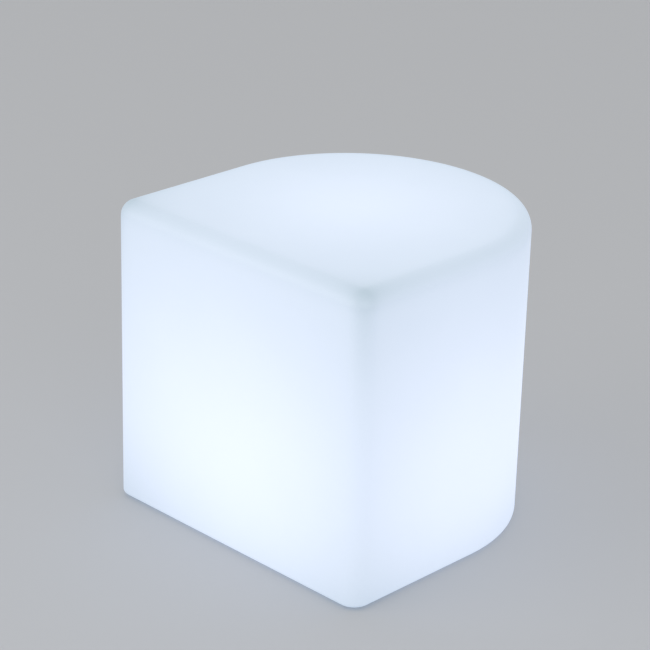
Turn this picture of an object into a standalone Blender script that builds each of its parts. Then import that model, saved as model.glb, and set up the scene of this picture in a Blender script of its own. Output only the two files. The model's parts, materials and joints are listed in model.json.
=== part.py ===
"""Light-up stool: a hollow D-shaped seat shell with a battery lamp screwed into its underside.

Metres, +Z up. The origin is on the floor under the middle of the stool's outline. The flat front faces -Y,
the half-round end faces +Y, and the lamp's axis is the Z axis.
"""

import math

import bmesh
import bpy
from mathutils import Vector

# Driving dimensions of the stool
SEAT_WIDTH = 0.425
SEAT_DEPTH = 0.420
SEAT_HEIGHT = 0.400
SHELL_WALL = 0.0045
TOP_EDGE_RADIUS = 0.020
CORNER_RADIUS = 0.022
BASE_EDGE_RADIUS = 0.005
FOOT_STAND = 0.003  # how far the feet hold the shell off the floor

# Clearances and cuts
TOUCH_GAP = 0.0003  # between two pieces that rest on or sit in each other
CUT_OVERRUN = 0.002  # how far a cutter runs past the face that it opens
WELD = 0.000002  # points nearer than this are one point

# Counts of flat sides that stand for a round one
ROUND_END_STEPS = 48
CORNER_STEPS = 6
TOP_EDGE_STEPS = 7
BASE_EDGE_STEPS = 3
WIDE_SIDES = 48
FOOT_SIDES = 20
SMALL_SIDES = 12

# Battery cells and their tray, from which the lamp is sized outwards
CELL_RADIUS = 0.0092
CELL_LENGTH = 0.065
CELL_SPACE = 0.0008
CELL_CAP_RADIUS = 0.003
CELL_CAP_HEIGHT = 0.0008
CONTACT_THICKNESS = 0.0008
HOLDER_WALL = 0.0018
HOLDER_FLOOR = 0.0015
HOLDER_HEIGHT = 0.012
HOLDER_LENGTH = CELL_LENGTH + 2 * (CELL_CAP_HEIGHT + 2 * TOUCH_GAP + CONTACT_THICKNESS + HOLDER_WALL)
HOLDER_WIDTH = 4 * CELL_RADIUS + CELL_SPACE + 2 * (TOUCH_GAP + HOLDER_WALL)

# Fasteners: radius and height of the head, radius of the shank, width across the flats of the hex socket
SCREW_SOCKET_DEPTH_SHARE = 0.55
SCREW_CHAMFER_SHARE = 0.25
FLANGE_HEAD_RADIUS = 0.0038
FLANGE_HEAD_HEIGHT = 0.0026
FLANGE_SHANK_RADIUS = 0.0019
FLANGE_SOCKET = 0.0026
SMALL_HEAD_RADIUS = 0.0025
SMALL_HEAD_HEIGHT = 0.0016
SMALL_SHANK_RADIUS = 0.0011
SMALL_SOCKET = 0.0017
FLANGE_SCREW_COUNT = 6
LENS_SCREW_COUNT = 3
LED_SCREW_COUNT = 3

# Radii of the lamp, from the light board outwards to the pocket in the shell
LED_BOSS_RADIUS = 0.0035
LED_BOSS_ROOM = 0.004
LED_SCREW_CIRCLE = HOLDER_LENGTH / 2 + LED_BOSS_RADIUS + LED_BOSS_ROOM
HEAT_PLATE_EDGE = 0.004
HEAT_PLATE_RADIUS = LED_SCREW_CIRCLE + SMALL_HEAD_RADIUS + HEAT_PLATE_EDGE
DOME_ROOM = 0.0015
DOME_WALL = 0.002
DOME_RADIUS = HEAT_PLATE_RADIUS + DOME_ROOM + DOME_WALL
LENS_HEAD_ROOM = 0.001
LENS_SCREW_CIRCLE = DOME_RADIUS + SMALL_HEAD_RADIUS + LENS_HEAD_ROOM
DOME_FLANGE_EDGE = 0.0015
DOME_FLANGE_RADIUS = LENS_SCREW_CIRCLE + SMALL_HEAD_RADIUS + DOME_FLANGE_EDGE
CUP_EDGE = 0.0008
CUP_RADIUS = DOME_FLANGE_RADIUS + CUP_EDGE
CUP_WALL = 0.0025
LAMP_HOLE_CLEARANCE = 0.002
LAMP_HOLE_RADIUS = CUP_RADIUS + LAMP_HOLE_CLEARANCE
INSERT_BOSS_RADIUS = 0.0065
INSERT_BOSS_ROOM = 0.0025
FLANGE_SCREW_CIRCLE = LAMP_HOLE_RADIUS + INSERT_BOSS_RADIUS + INSERT_BOSS_ROOM
FLANGE_EDGE = 0.0037
FLANGE_RADIUS = FLANGE_SCREW_CIRCLE + FLANGE_HEAD_RADIUS + FLANGE_EDGE
POCKET_ROOM = 0.004
POCKET_RADIUS = FLANGE_RADIUS + POCKET_ROOM

# Heights of the lamp below the shell's shelf, from the shelf downwards
POCKET_DEPTH = 0.028
SHELF_Z = FOOT_STAND + POCKET_DEPTH
FLANGE_SEAL_THICKNESS = 0.0015
CUP_FLANGE_THICKNESS = 0.0025
PLATE_SEAL_THICKNESS = 0.001
PLATE_THICKNESS = 0.0035
FLANGE_TOP_Z = SHELF_Z - FLANGE_SEAL_THICKNESS - 2 * TOUCH_GAP
FLANGE_BOTTOM_Z = FLANGE_TOP_Z - CUP_FLANGE_THICKNESS
PLATE_TOP_Z = FLANGE_BOTTOM_Z - PLATE_SEAL_THICKNESS - 2 * TOUCH_GAP
PLATE_BOTTOM_Z = PLATE_TOP_Z - PLATE_THICKNESS

# Charging socket and its well, which set the height of the control board
PORT_X = 0.022
PORT_RADIUS = 0.005
PORT_COLLAR_WALL = 0.0018
JACK_RADIUS = 0.0055
JACK_HEIGHT = 0.0105
JACK_SETBACK = 0.004
JACK_BORE_RADIUS = 0.0031
JACK_BORE_DEPTH = 0.0085
JACK_PIN_RADIUS = 0.001
JACK_PIN_SETBACK = 0.001

# Control board and the heights above it, upwards to the top of the lamp
BOARD_LENGTH = 0.076
BOARD_WIDTH = 0.042
BOARD_THICKNESS = 0.0016
BOARD_HOLE_INSET = 0.0045
BOARD_POST_RADIUS = 0.003
BOARD_SCREW_BITE = 0.006
BOARD_BOTTOM_Z = PLATE_TOP_Z + JACK_SETBACK + JACK_HEIGHT + TOUCH_GAP
BOARD_TOP_Z = BOARD_BOTTOM_Z + BOARD_THICKNESS
CONNECTOR_LENGTH = 0.007
CONNECTOR_WIDTH = 0.007
CONNECTOR_HEIGHT = 0.0045
CONNECTOR_INSET = 0.0005
LED_CONNECTOR_Y = 0.010
HOLDER_CLEARANCE = 0.001
HOLDER_Z = BOARD_TOP_Z + CONNECTOR_HEIGHT + HOLDER_CLEARANCE
CELL_Z = HOLDER_Z + HOLDER_FLOOR + TOUCH_GAP + CELL_RADIUS
CELL_HEADROOM = 0.003
CUP_CEILING_Z = CELL_Z + CELL_RADIUS + CELL_HEADROOM
CUP_TOP_THICKNESS = 0.0025
CUP_TOP_Z = CUP_CEILING_Z + CUP_TOP_THICKNESS
HEAT_PLATE_THICKNESS = 0.0015
HEAT_PLATE_TOP_Z = CUP_TOP_Z + TOUCH_GAP + HEAT_PLATE_THICKNESS
LED_BOARD_THICKNESS = 0.0012
LED_BOARD_Z = HEAT_PLATE_TOP_Z + TOUCH_GAP
LED_BOARD_TOP_Z = LED_BOARD_Z + LED_BOARD_THICKNESS
LENS_SEAL_THICKNESS = 0.001
DOME_FLANGE_THICKNESS = 0.002
DOME_Z = CUP_TOP_Z + LENS_SEAL_THICKNESS + 2 * TOUCH_GAP


def clear_scene():
    for found in list(bpy.data.objects):
        bpy.data.objects.remove(found)


def finish(name, colour, roughness, metallic=0.0, glow=0.0):
    """A Principled material. Glow is the strength with which the lit plastic shines in its own colour."""
    made = bpy.data.materials.new(name)
    made.use_nodes = True
    shader = made.node_tree.nodes["Principled BSDF"]
    shader.inputs["Base Color"].default_value = (*colour, 1)
    shader.inputs["Roughness"].default_value = roughness
    shader.inputs["Metallic"].default_value = metallic
    shader.inputs["Emission Color"].default_value = (*colour, 1)
    shader.inputs["Emission Strength"].default_value = glow
    return made


def object_from(bm, name, material=None):
    """Turns a bmesh into a closed object whose faces point outwards."""
    bmesh.ops.remove_doubles(bm, verts=bm.verts, dist=WELD)
    bmesh.ops.recalc_face_normals(bm, faces=bm.faces)
    mesh = bpy.data.meshes.new(name)
    bm.to_mesh(mesh)
    bm.free()
    if material:
        mesh.materials.append(material)
    made = bpy.data.objects.new(name, mesh)
    bpy.context.scene.collection.objects.link(made)
    return made


def smooth(made, sharp_angle=math.radians(35)):
    """Shades round faces smooth and leaves the edges sharper than the angle crisp."""
    made.data.shade_smooth()
    made.data.set_sharp_from_angle(angle=sharp_angle)
    return made


def circle(radius, height, sides):
    """The points of a round ring. None lies straight out from the axis along X or Y."""
    turns = (math.tau * (k + 0.5) / sides for k in range(sides))
    return [(radius * math.cos(turn), radius * math.sin(turn), height) for turn in turns]


def loft(name, rings, material=None, closed=False):
    """Skins a stack of equal rings, with its ends capped, or joined to each other if it is closed."""
    bm = bmesh.new()
    rows = [[bm.verts.new(point) for point in ring] for ring in rings]
    pairs = list(zip(rows, rows[1:]))
    if closed:
        pairs.append((rows[-1], rows[0]))
    for lower, upper in pairs:
        for k in range(len(lower)):
            after = (k + 1) % len(lower)
            bm.faces.new((lower[k], lower[after], upper[after], upper[k]))
    if not closed:
        bm.faces.new(rows[0])
        bm.faces.new(rows[-1])
    return smooth(object_from(bm, name, material))


def turned(name, profile, sides, material=None, at=(0, 0, 0), closed=False):
    """A turned piece: the profile's (radius, height) points become rings about an upright axis."""
    made = loft(name, [circle(radius, height, sides) for radius, height in profile], material, closed)
    made.location = at
    return made


def block(name, size, at, material=None):
    """A box of the size, centred at the place in X and Y and standing on it in Z."""
    bm = bmesh.new()
    bmesh.ops.create_cube(bm, size=1)
    bmesh.ops.translate(bm, vec=Vector((0, 0, 1)) / 2, verts=bm.verts)
    bmesh.ops.scale(bm, vec=size, verts=bm.verts)
    made = object_from(bm, name, material)
    made.location = at
    return made


def hide(helper):
    helper.hide_render = True
    helper.display_type = "WIRE"
    return helper


def combine(target, helper, operation):
    modifier = target.modifiers.new(helper.name, "BOOLEAN")
    modifier.operation = operation
    modifier.object = hide(helper)


def cut(target, helper):
    combine(target, helper, "DIFFERENCE")


def join(target, helper):
    combine(target, helper, "UNION")


def drill(target, place, radius, bottom, top, sides=SMALL_SIDES):
    """Cuts an upright round hole between two heights."""
    name = f"drill_{target.name}_{len(target.modifiers)}"
    cut(target, turned(name, [(radius, bottom), (radius, top)], sides, at=(*place, 0)))


def add_post(target, place, radius, bottom, top, sides=SMALL_SIDES):
    """Joins an upright round post that runs between two heights."""
    name = f"post_{target.name}_{len(target.modifiers)}"
    join(target, turned(name, [(radius, bottom), (radius, top)], sides, at=(*place, 0)))


def on_circle(radius, count, first_angle=0.0):
    """Places spread evenly round the lamp's axis."""
    turns = (first_angle + math.tau * k / count for k in range(count))
    return [(radius * math.cos(turn), radius * math.sin(turn)) for turn in turns]


def screw(name, at, head_radius, head_height, shank_radius, length, socket, material, points_down=False):
    """A hex socket screw whose head seats at the place and whose shank runs up, or down, from there."""
    socket_floor = head_height * (SCREW_SOCKET_DEPTH_SHARE - 1)
    chamfer = head_height * SCREW_CHAMFER_SHARE
    corner = socket / 2 / math.cos(math.pi / 6)
    hexagon = [socket / 2 if k % 2 else corner for k in range(SMALL_SIDES)]

    def hex_ring(height):
        ring = circle(1, height, SMALL_SIDES)
        return [(x * reach, y * reach, z) for (x, y, z), reach in zip(ring, hexagon)]

    rings = [hex_ring(socket_floor), hex_ring(-head_height)]
    profile = [
        (head_radius - chamfer, -head_height),
        (head_radius, chamfer - head_height),
        (head_radius, 0),
        (shank_radius, 0),
        (shank_radius, length - shank_radius / 2),
        (shank_radius / 2, length),
    ]
    rings += [circle(radius, height, SMALL_SIDES) for radius, height in profile]
    made = loft(name, rings, material)
    made.location = at
    made.rotation_euler.x = math.pi if points_down else 0
    return made


def flange_places():
    return on_circle(FLANGE_SCREW_CIRCLE, FLANGE_SCREW_COUNT)


# Seat shell: its outline, its feet's seats, the pocket for the lamp and the bosses that hold the lamp
ARC_CENTRE_Y = SEAT_DEPTH / 2 - SEAT_WIDTH / 2
FOOT_RADIUS = 0.016
FOOT_HEIGHT = 0.007
FOOT_SEAT_ROOM = 0.0005
FOOT_INSET = 0.045
REAR_FOOT_ANGLE = math.radians(50)
FOOT_SCREW_LENGTH = 0.012
FOOT_HEAD_RECESS = 0.001
FOOT_BOSS_RADIUS = 0.006
FOOT_SEAT_Z = FOOT_HEIGHT + TOUCH_GAP
FOOT_SCREW_SEAT_Z = FOOT_HEAD_RECESS + FLANGE_HEAD_HEIGHT
BOSS_CAP = 0.002
POCKET_DRAFT = 0.003
INSERT_RADIUS = 0.0032
INSERT_LENGTH = 0.008
VENT_FROM_BACK = 0.060
VENT_Y = SEAT_DEPTH / 2 - VENT_FROM_BACK
VENT_STEM_RADIUS = 0.0036


def foot_places():
    """Two feet behind the front corners and two under the round end."""
    front_x = SEAT_WIDTH / 2 - FOOT_INSET
    rear_reach = SEAT_WIDTH / 2 - FOOT_INSET
    rear_x = rear_reach * math.cos(REAR_FOOT_ANGLE)
    rear_y = ARC_CENTRE_Y + rear_reach * math.sin(REAR_FOOT_ANGLE)
    front_y = FOOT_INSET - SEAT_DEPTH / 2
    return [(front_x, front_y), (rear_x, rear_y), (-rear_x, rear_y), (-front_x, front_y)]


def arc(centre_x, centre_y, radius, start, end, steps):
    turns = (start + (end - start) * k / steps for k in range(steps + 1))
    return [(centre_x + radius * math.cos(turn), centre_y + radius * math.sin(turn)) for turn in turns]


def seat_outline(inset):
    """The stool's D-shaped outline, moved inwards by the inset."""
    radius = max(CORNER_RADIUS - inset, 0)
    corner_x = SEAT_WIDTH / 2 - inset - radius
    corner_y = inset + radius - SEAT_DEPTH / 2
    right = arc(corner_x, corner_y, radius, -math.pi / 2, 0, CORNER_STEPS)
    end = arc(0, ARC_CENTRE_Y, SEAT_WIDTH / 2 - inset, 0, math.pi, ROUND_END_STEPS)
    left = arc(-corner_x, corner_y, radius, math.pi, 1.5 * math.pi, CORNER_STEPS)
    return right + end + left


def edge_round(radius, steps):
    """How far a rounded edge stands back from the wall and from its end face, as it runs to the wall."""
    if radius <= 0:
        return [(0, 0)]
    turns = (math.pi / 2 * k / steps for k in range(steps + 1))
    return [(radius * (1 - math.sin(turn)), radius * (1 - math.cos(turn))) for turn in turns]


def seat_body(name, wall, material=None):
    """The closed body of the stool, shrunk by the wall on every side."""
    low_z = FOOT_STAND + wall
    high_z = SEAT_HEIGHT - wall
    base = edge_round(BASE_EDGE_RADIUS - wall, BASE_EDGE_STEPS)
    top = edge_round(TOP_EDGE_RADIUS - wall, TOP_EDGE_STEPS)
    levels = [(back, low_z + rise) for back, rise in base]
    levels += [(back, high_z - drop) for back, drop in reversed(top)]
    rings = [[(x, y, z) for x, y in seat_outline(wall + back)] for back, z in levels]
    return loft(name, rings, material)


def make_shell(material):
    """The rotomoulded shell: one wall, a drafted pocket underneath, and bosses inside for the screws."""
    shell = seat_body("shell", 0, material)
    cavity = hide(seat_body("cavity", SHELL_WALL))
    shelf_top = SHELF_Z + SHELL_WALL
    boss_top = SHELF_Z + INSERT_LENGTH + TOUCH_GAP + BOSS_CAP

    slope = POCKET_DRAFT / POCKET_DEPTH
    mouth = POCKET_RADIUS + POCKET_DRAFT + slope * CUT_OVERRUN
    below = FOOT_STAND - CUT_OVERRUN
    pocket = [(mouth, below), (POCKET_RADIUS, SHELF_Z)]
    pocket_wall = [(mouth + SHELL_WALL, below), (POCKET_RADIUS + SHELL_WALL, shelf_top)]
    cut(cavity, turned("pocket_wall", pocket_wall, WIDE_SIDES))
    for place in flange_places():
        drill(cavity, place, INSERT_BOSS_RADIUS, SHELF_Z, boss_top)

    seat_radius = FOOT_RADIUS + FOOT_SEAT_ROOM
    ceiling = FOOT_SEAT_Z + SHELL_WALL
    pilot_top = FOOT_SCREW_SEAT_Z + FOOT_SCREW_LENGTH + TOUCH_GAP
    boss_end = pilot_top + BOSS_CAP
    seat_wall = [
        (seat_radius + SHELL_WALL, below),
        (seat_radius + SHELL_WALL, ceiling),
        (FOOT_BOSS_RADIUS, ceiling),
        (FOOT_BOSS_RADIUS, max(boss_end, ceiling + BOSS_CAP)),
    ]
    pilot = FLANGE_SHANK_RADIUS + TOUCH_GAP
    seat = [(seat_radius, below), (seat_radius, FOOT_SEAT_Z), (pilot, FOOT_SEAT_Z), (pilot, pilot_top)]
    for k, (x, y) in enumerate(foot_places(), 1):
        cut(cavity, turned(f"foot_seat_wall_{k}", seat_wall, FOOT_SIDES, at=(x, y, 0)))
    cut(shell, cavity)
    for k, (x, y) in enumerate(foot_places(), 1):
        cut(shell, turned(f"foot_seat_{k}", seat, FOOT_SIDES, at=(x, y, 0)))
    cut(shell, turned("pocket", pocket, WIDE_SIDES))
    drill(shell, (0, 0), LAMP_HOLE_RADIUS, SHELF_Z - CUT_OVERRUN, shelf_top + CUT_OVERRUN, WIDE_SIDES)
    for place in flange_places():
        hole_top = SHELF_Z + INSERT_LENGTH + TOUCH_GAP
        drill(shell, place, INSERT_RADIUS + TOUCH_GAP, SHELF_Z - CUT_OVERRUN, hole_top)
    vent_top = FOOT_STAND + SHELL_WALL + CUT_OVERRUN
    drill(shell, (0, VENT_Y), VENT_STEM_RADIUS + TOUCH_GAP, below, vent_top)
    return shell


# Feet, their screws, the threaded inserts and the vent plug
FOOT_CHAMFER = 0.001
INSERT_GROOVE_SHARES = (0.40, 0.45, 0.55, 0.60)  # heights of the groove's edges, of the insert's length
VENT_HEAD_RADIUS = 0.0075
VENT_HEAD_THICKNESS = 0.0012
VENT_BARB_RADIUS = 0.0046
VENT_BARB_HEIGHT = 0.002


def make_feet(rubber, steel):
    bore = FLANGE_SHANK_RADIUS + TOUCH_GAP
    recess = FLANGE_HEAD_RADIUS + 2 * TOUCH_GAP
    profile = [
        (recess, 0),
        (FOOT_RADIUS - FOOT_CHAMFER, 0),
        (FOOT_RADIUS, FOOT_CHAMFER),
        (FOOT_RADIUS, FOOT_HEIGHT),
        (bore, FOOT_HEIGHT),
        (bore, FOOT_SCREW_SEAT_Z + TOUCH_GAP),
        (recess, FOOT_SCREW_SEAT_Z + TOUCH_GAP),
    ]
    for k, (x, y) in enumerate(foot_places(), 1):
        turned(f"foot_{k}", profile, FOOT_SIDES, rubber, at=(x, y, 0), closed=True)
        screw(
            f"foot_screw_{k}",
            (x, y, FOOT_SCREW_SEAT_Z),
            FLANGE_HEAD_RADIUS,
            FLANGE_HEAD_HEIGHT,
            FLANGE_SHANK_RADIUS,
            FOOT_SCREW_LENGTH,
            FLANGE_SOCKET,
            steel,
        )


def make_inserts(brass):
    """Threaded brass inserts, moulded into the bosses round the lamp hole."""
    bore = FLANGE_SHANK_RADIUS + TOUCH_GAP
    groove = (INSERT_RADIUS + bore) / 2
    groove_radii = (INSERT_RADIUS, groove, groove, INSERT_RADIUS)
    profile = [(bore, 0), (INSERT_RADIUS, 0)]
    profile += [(radius, share * INSERT_LENGTH) for radius, share in zip(groove_radii, INSERT_GROOVE_SHARES)]
    profile += [(INSERT_RADIUS, INSERT_LENGTH), (bore, INSERT_LENGTH)]
    for k, (x, y) in enumerate(flange_places(), 1):
        turned(f"thread_insert_{k}", profile, SMALL_SIDES, brass, at=(x, y, SHELF_Z), closed=True)


def make_vent_plug(material):
    """The plug that closes the mould's vent hole: a head under the base and a barb inside."""
    inside = FOOT_STAND + SHELL_WALL + TOUCH_GAP
    head_top = FOOT_STAND - TOUCH_GAP
    profile = [
        (VENT_HEAD_RADIUS, head_top - VENT_HEAD_THICKNESS),
        (VENT_HEAD_RADIUS, head_top),
        (VENT_STEM_RADIUS, head_top),
        (VENT_STEM_RADIUS, inside),
        (VENT_BARB_RADIUS, inside),
        (VENT_STEM_RADIUS, inside + VENT_BARB_HEIGHT),
    ]
    turned("vent_plug", profile, SMALL_SIDES, material, at=(0, VENT_Y, 0))


# Lamp housing: the seals, the cup that reaches into the shell, and the base plate with its posts
BOSS_BITE = 0.004
FLANGE_SCREW_BITE_SHARE = 0.75  # how much of the insert the screw fills
LED_HEADER_LENGTH = 0.006
LED_HEADER_WIDTH = 0.008
LED_HEADER_DROP = 0.002
HEADER_ROOM = 0.0005
LED_SCREW_ANGLE = math.pi / LED_SCREW_COUNT
LENS_SCREW_ANGLE = LED_SCREW_ANGLE / 2
LENS_BOSS_RADIUS = 0.0032
HOLDER_POST_RADIUS = 0.0035
HOLDER_POST_ROOM = 0.0008
HOLDER_POST_Y = max(BOARD_WIDTH, HOLDER_WIDTH) / 2 + HOLDER_POST_RADIUS + HOLDER_POST_ROOM
PLATE_CHAMFER = 0.001
BUTTON_X = -0.022
BUTTON_RADIUS = 0.006
BUTTON_CLEARANCE = 0.0004
BEZEL_WIDTH = 0.0022
BEZEL_HEIGHT = 0.0008
INDICATOR_Y = -0.013
INDICATOR_RADIUS = 0.0015
SENSOR_Y = 0.013
SENSOR_RADIUS = 0.0035
CAP_RADIUS = 0.007
CAP_THICKNESS = 0.0016
STRAP_LENGTH = 0.002
HINGE_X = PORT_X + CAP_RADIUS + STRAP_LENGTH
ANCHOR_LENGTH = 0.006
ANCHOR_X = HINGE_X + TOUCH_GAP / 2 + ANCHOR_LENGTH / 2
ANCHOR_STUD_RADIUS = 0.0014


def ring_seal(name, inner, outer, bottom, thickness, screw_places, screw_radius, material):
    """A flat ring of silicone with a hole for each screw."""
    top = bottom + thickness
    profile = [(inner, bottom), (outer, bottom), (outer, top), (inner, top)]
    made = turned(name, profile, WIDE_SIDES, material, closed=True)
    for place in screw_places:
        drill(made, place, screw_radius, bottom - CUT_OVERRUN, top + CUT_OVERRUN)
    return made


def led_screw_places():
    return on_circle(LED_SCREW_CIRCLE, LED_SCREW_COUNT, LED_SCREW_ANGLE)


def lens_screw_places():
    return on_circle(LENS_SCREW_CIRCLE, LENS_SCREW_COUNT, LENS_SCREW_ANGLE)


def make_seals(silicone):
    hole = FLANGE_SHANK_RADIUS + 2 * TOUCH_GAP
    outer = FLANGE_RADIUS - PLATE_CHAMFER
    seal_z = FLANGE_TOP_Z + TOUCH_GAP
    ring_seal(
        "shell_seal", LAMP_HOLE_RADIUS, outer, seal_z, FLANGE_SEAL_THICKNESS, flange_places(), hole, silicone
    )
    seal_z = PLATE_TOP_Z + TOUCH_GAP
    inner = CUP_RADIUS - CUP_WALL
    ring_seal("plate_seal", inner, outer, seal_z, PLATE_SEAL_THICKNESS, flange_places(), hole, silicone)
    hole = SMALL_SHANK_RADIUS + TOUCH_GAP
    inner = HEAT_PLATE_RADIUS + DOME_ROOM
    seal_z = CUP_TOP_Z + TOUCH_GAP
    outer = DOME_FLANGE_RADIUS
    ring_seal("lens_seal", inner, outer, seal_z, LENS_SEAL_THICKNESS, lens_screw_places(), hole, silicone)


def make_cup(material):
    """The inverted cup that holds the electronics below and carries the light board on its top."""
    inner = CUP_RADIUS - CUP_WALL
    profile = [
        (CUP_RADIUS, CUP_TOP_Z),
        (CUP_RADIUS, FLANGE_TOP_Z),
        (FLANGE_RADIUS, FLANGE_TOP_Z),
        (FLANGE_RADIUS, FLANGE_BOTTOM_Z),
        (inner, FLANGE_BOTTOM_Z),
        (inner, CUP_CEILING_Z),
    ]
    cup = turned("lamp_cup", profile, WIDE_SIDES, material)
    boss_bottom = CUP_CEILING_Z - BOSS_BITE - TOUCH_GAP - BOSS_CAP
    boss_top = CUP_CEILING_Z + CUP_TOP_THICKNESS / 2
    for place in led_screw_places():
        add_post(cup, place, LED_BOSS_RADIUS, boss_bottom, boss_top)
    for place in lens_screw_places():
        add_post(cup, place, LENS_BOSS_RADIUS, boss_bottom, boss_top)
    pilot = SMALL_SHANK_RADIUS + TOUCH_GAP
    for place in led_screw_places() + lens_screw_places():
        drill(cup, place, pilot, boss_bottom + BOSS_CAP, CUP_TOP_Z + CUT_OVERRUN)
    for place in flange_places():
        hole = FLANGE_SHANK_RADIUS + 2 * TOUCH_GAP
        drill(cup, place, hole, FLANGE_BOTTOM_Z - CUT_OVERRUN, FLANGE_TOP_Z + CUT_OVERRUN)
    slot_size = (
        LED_HEADER_LENGTH + 2 * HEADER_ROOM,
        LED_HEADER_WIDTH + 2 * HEADER_ROOM,
        CUP_TOP_THICKNESS + 2 * CUT_OVERRUN,
    )
    cut(cup, block("header_slot_in_cup", slot_size, (LED_SCREW_CIRCLE, 0, CUP_CEILING_Z - CUT_OVERRUN)))
    return cup


def board_hole_places():
    x = BOARD_LENGTH / 2 - BOARD_HOLE_INSET
    y = BOARD_WIDTH / 2 - BOARD_HOLE_INSET
    return [(x, y), (-x, y), (-x, -y), (x, -y)]


def holder_post_places():
    return [(0, HOLDER_POST_Y), (0, -HOLDER_POST_Y)]


def make_base_plate(material):
    """The round cover under the stool: it carries the boards, the battery, the button and the port."""
    profile = [
        (FLANGE_RADIUS - PLATE_CHAMFER, PLATE_BOTTOM_Z),
        (FLANGE_RADIUS, PLATE_BOTTOM_Z + PLATE_CHAMFER),
        (FLANGE_RADIUS, PLATE_TOP_Z),
    ]
    plate = turned("base_plate", profile, WIDE_SIDES, material)
    root_z = PLATE_TOP_Z - PLATE_THICKNESS / 2
    board_post_top = BOARD_BOTTOM_Z - TOUCH_GAP
    holder_post_top = HOLDER_Z - TOUCH_GAP
    for place in board_hole_places():
        add_post(plate, place, BOARD_POST_RADIUS, root_z, board_post_top)
    for place in holder_post_places():
        add_post(plate, place, HOLDER_POST_RADIUS, root_z, holder_post_top)
    collar_top = BOARD_BOTTOM_Z - JACK_HEIGHT - 2 * TOUCH_GAP
    add_post(plate, (PORT_X, 0), PORT_RADIUS + PORT_COLLAR_WALL, root_z, collar_top, FOOT_SIDES)
    button_hole = BUTTON_RADIUS + BUTTON_CLEARANCE
    bezel_bottom = PLATE_BOTTOM_Z - BEZEL_HEIGHT
    add_post(plate, (BUTTON_X, 0), button_hole + BEZEL_WIDTH, bezel_bottom, root_z, FOOT_SIDES)

    below = PLATE_BOTTOM_Z - CUT_OVERRUN
    above = PLATE_TOP_Z + CUT_OVERRUN
    pilot = SMALL_SHANK_RADIUS + TOUCH_GAP
    for place in board_hole_places():
        drill(plate, place, pilot, board_post_top - BOARD_SCREW_BITE - TOUCH_GAP, BOARD_TOP_Z)
    for place in holder_post_places():
        drill(plate, place, pilot, holder_post_top - BOARD_SCREW_BITE - TOUCH_GAP, HOLDER_Z + HOLDER_FLOOR)
    for place in flange_places():
        drill(plate, place, FLANGE_SHANK_RADIUS + 2 * TOUCH_GAP, below, above)
    drill(plate, (PORT_X, 0), PORT_RADIUS, below, collar_top + CUT_OVERRUN, FOOT_SIDES)
    drill(plate, (BUTTON_X, 0), button_hole, below, above, FOOT_SIDES)
    drill(plate, (0, INDICATOR_Y), INDICATOR_RADIUS + TOUCH_GAP, below, above)
    drill(plate, (0, SENSOR_Y), SENSOR_RADIUS + TOUCH_GAP, below, above)
    drill(plate, (ANCHOR_X, 0), ANCHOR_STUD_RADIUS + TOUCH_GAP, below, above)
    return plate


def make_flange_screws(steel):
    """The six screws that hold the base plate and the cup's flange up against the shell."""
    length = SHELF_Z - PLATE_BOTTOM_Z + TOUCH_GAP + INSERT_LENGTH * FLANGE_SCREW_BITE_SHARE
    for k, (x, y) in enumerate(flange_places(), 1):
        screw(
            f"plate_screw_{k}",
            (x, y, PLATE_BOTTOM_Z - TOUCH_GAP),
            FLANGE_HEAD_RADIUS,
            FLANGE_HEAD_HEIGHT,
            FLANGE_SHANK_RADIUS,
            length,
            FLANGE_SOCKET,
            steel,
        )


def small_screw(name, x, y, seat_z, length, steel):
    """A small screw that points down, its head seated just above the height."""
    at = (x, y, seat_z + TOUCH_GAP)
    grip = length + TOUCH_GAP
    screw(
        name,
        at,
        SMALL_HEAD_RADIUS,
        SMALL_HEAD_HEIGHT,
        SMALL_SHANK_RADIUS,
        grip,
        SMALL_SOCKET,
        steel,
        points_down=True,
    )


# Light source: heat plate, light board with its emitters, and the frosted dome
LED_BOARD_STEP = 0.001
LED_SIDE = 0.005
LED_HEIGHT = 0.0016
LED_RINGS_SHARE = ((0.78, 12), (0.40, 6))  # radius as a share of the screw circle, and number of emitters
DOME_WALL_HEIGHT = 0.010
DOME_RISE = 0.016
DOME_STEPS = 6
DOME_CROWN_SHARE = 0.12  # radius of the flat at the dome's crown, as a share of the dome's radius


def make_heat_plate(aluminium):
    low = CUP_TOP_Z + TOUCH_GAP
    profile = [(HEAT_PLATE_RADIUS, low), (HEAT_PLATE_RADIUS, HEAT_PLATE_TOP_Z)]
    plate = turned("heat_plate", profile, WIDE_SIDES, aluminium)
    for place in led_screw_places():
        drill(plate, place, SMALL_SHANK_RADIUS + TOUCH_GAP, low - CUT_OVERRUN, HEAT_PLATE_TOP_Z + CUT_OVERRUN)
    slot_size = (
        LED_HEADER_LENGTH + 2 * HEADER_ROOM,
        LED_HEADER_WIDTH + 2 * HEADER_ROOM,
        HEAT_PLATE_THICKNESS + 2 * CUT_OVERRUN,
    )
    cut(plate, block("header_slot_in_heat_plate", slot_size, (LED_SCREW_CIRCLE, 0, low - CUT_OVERRUN)))


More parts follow.
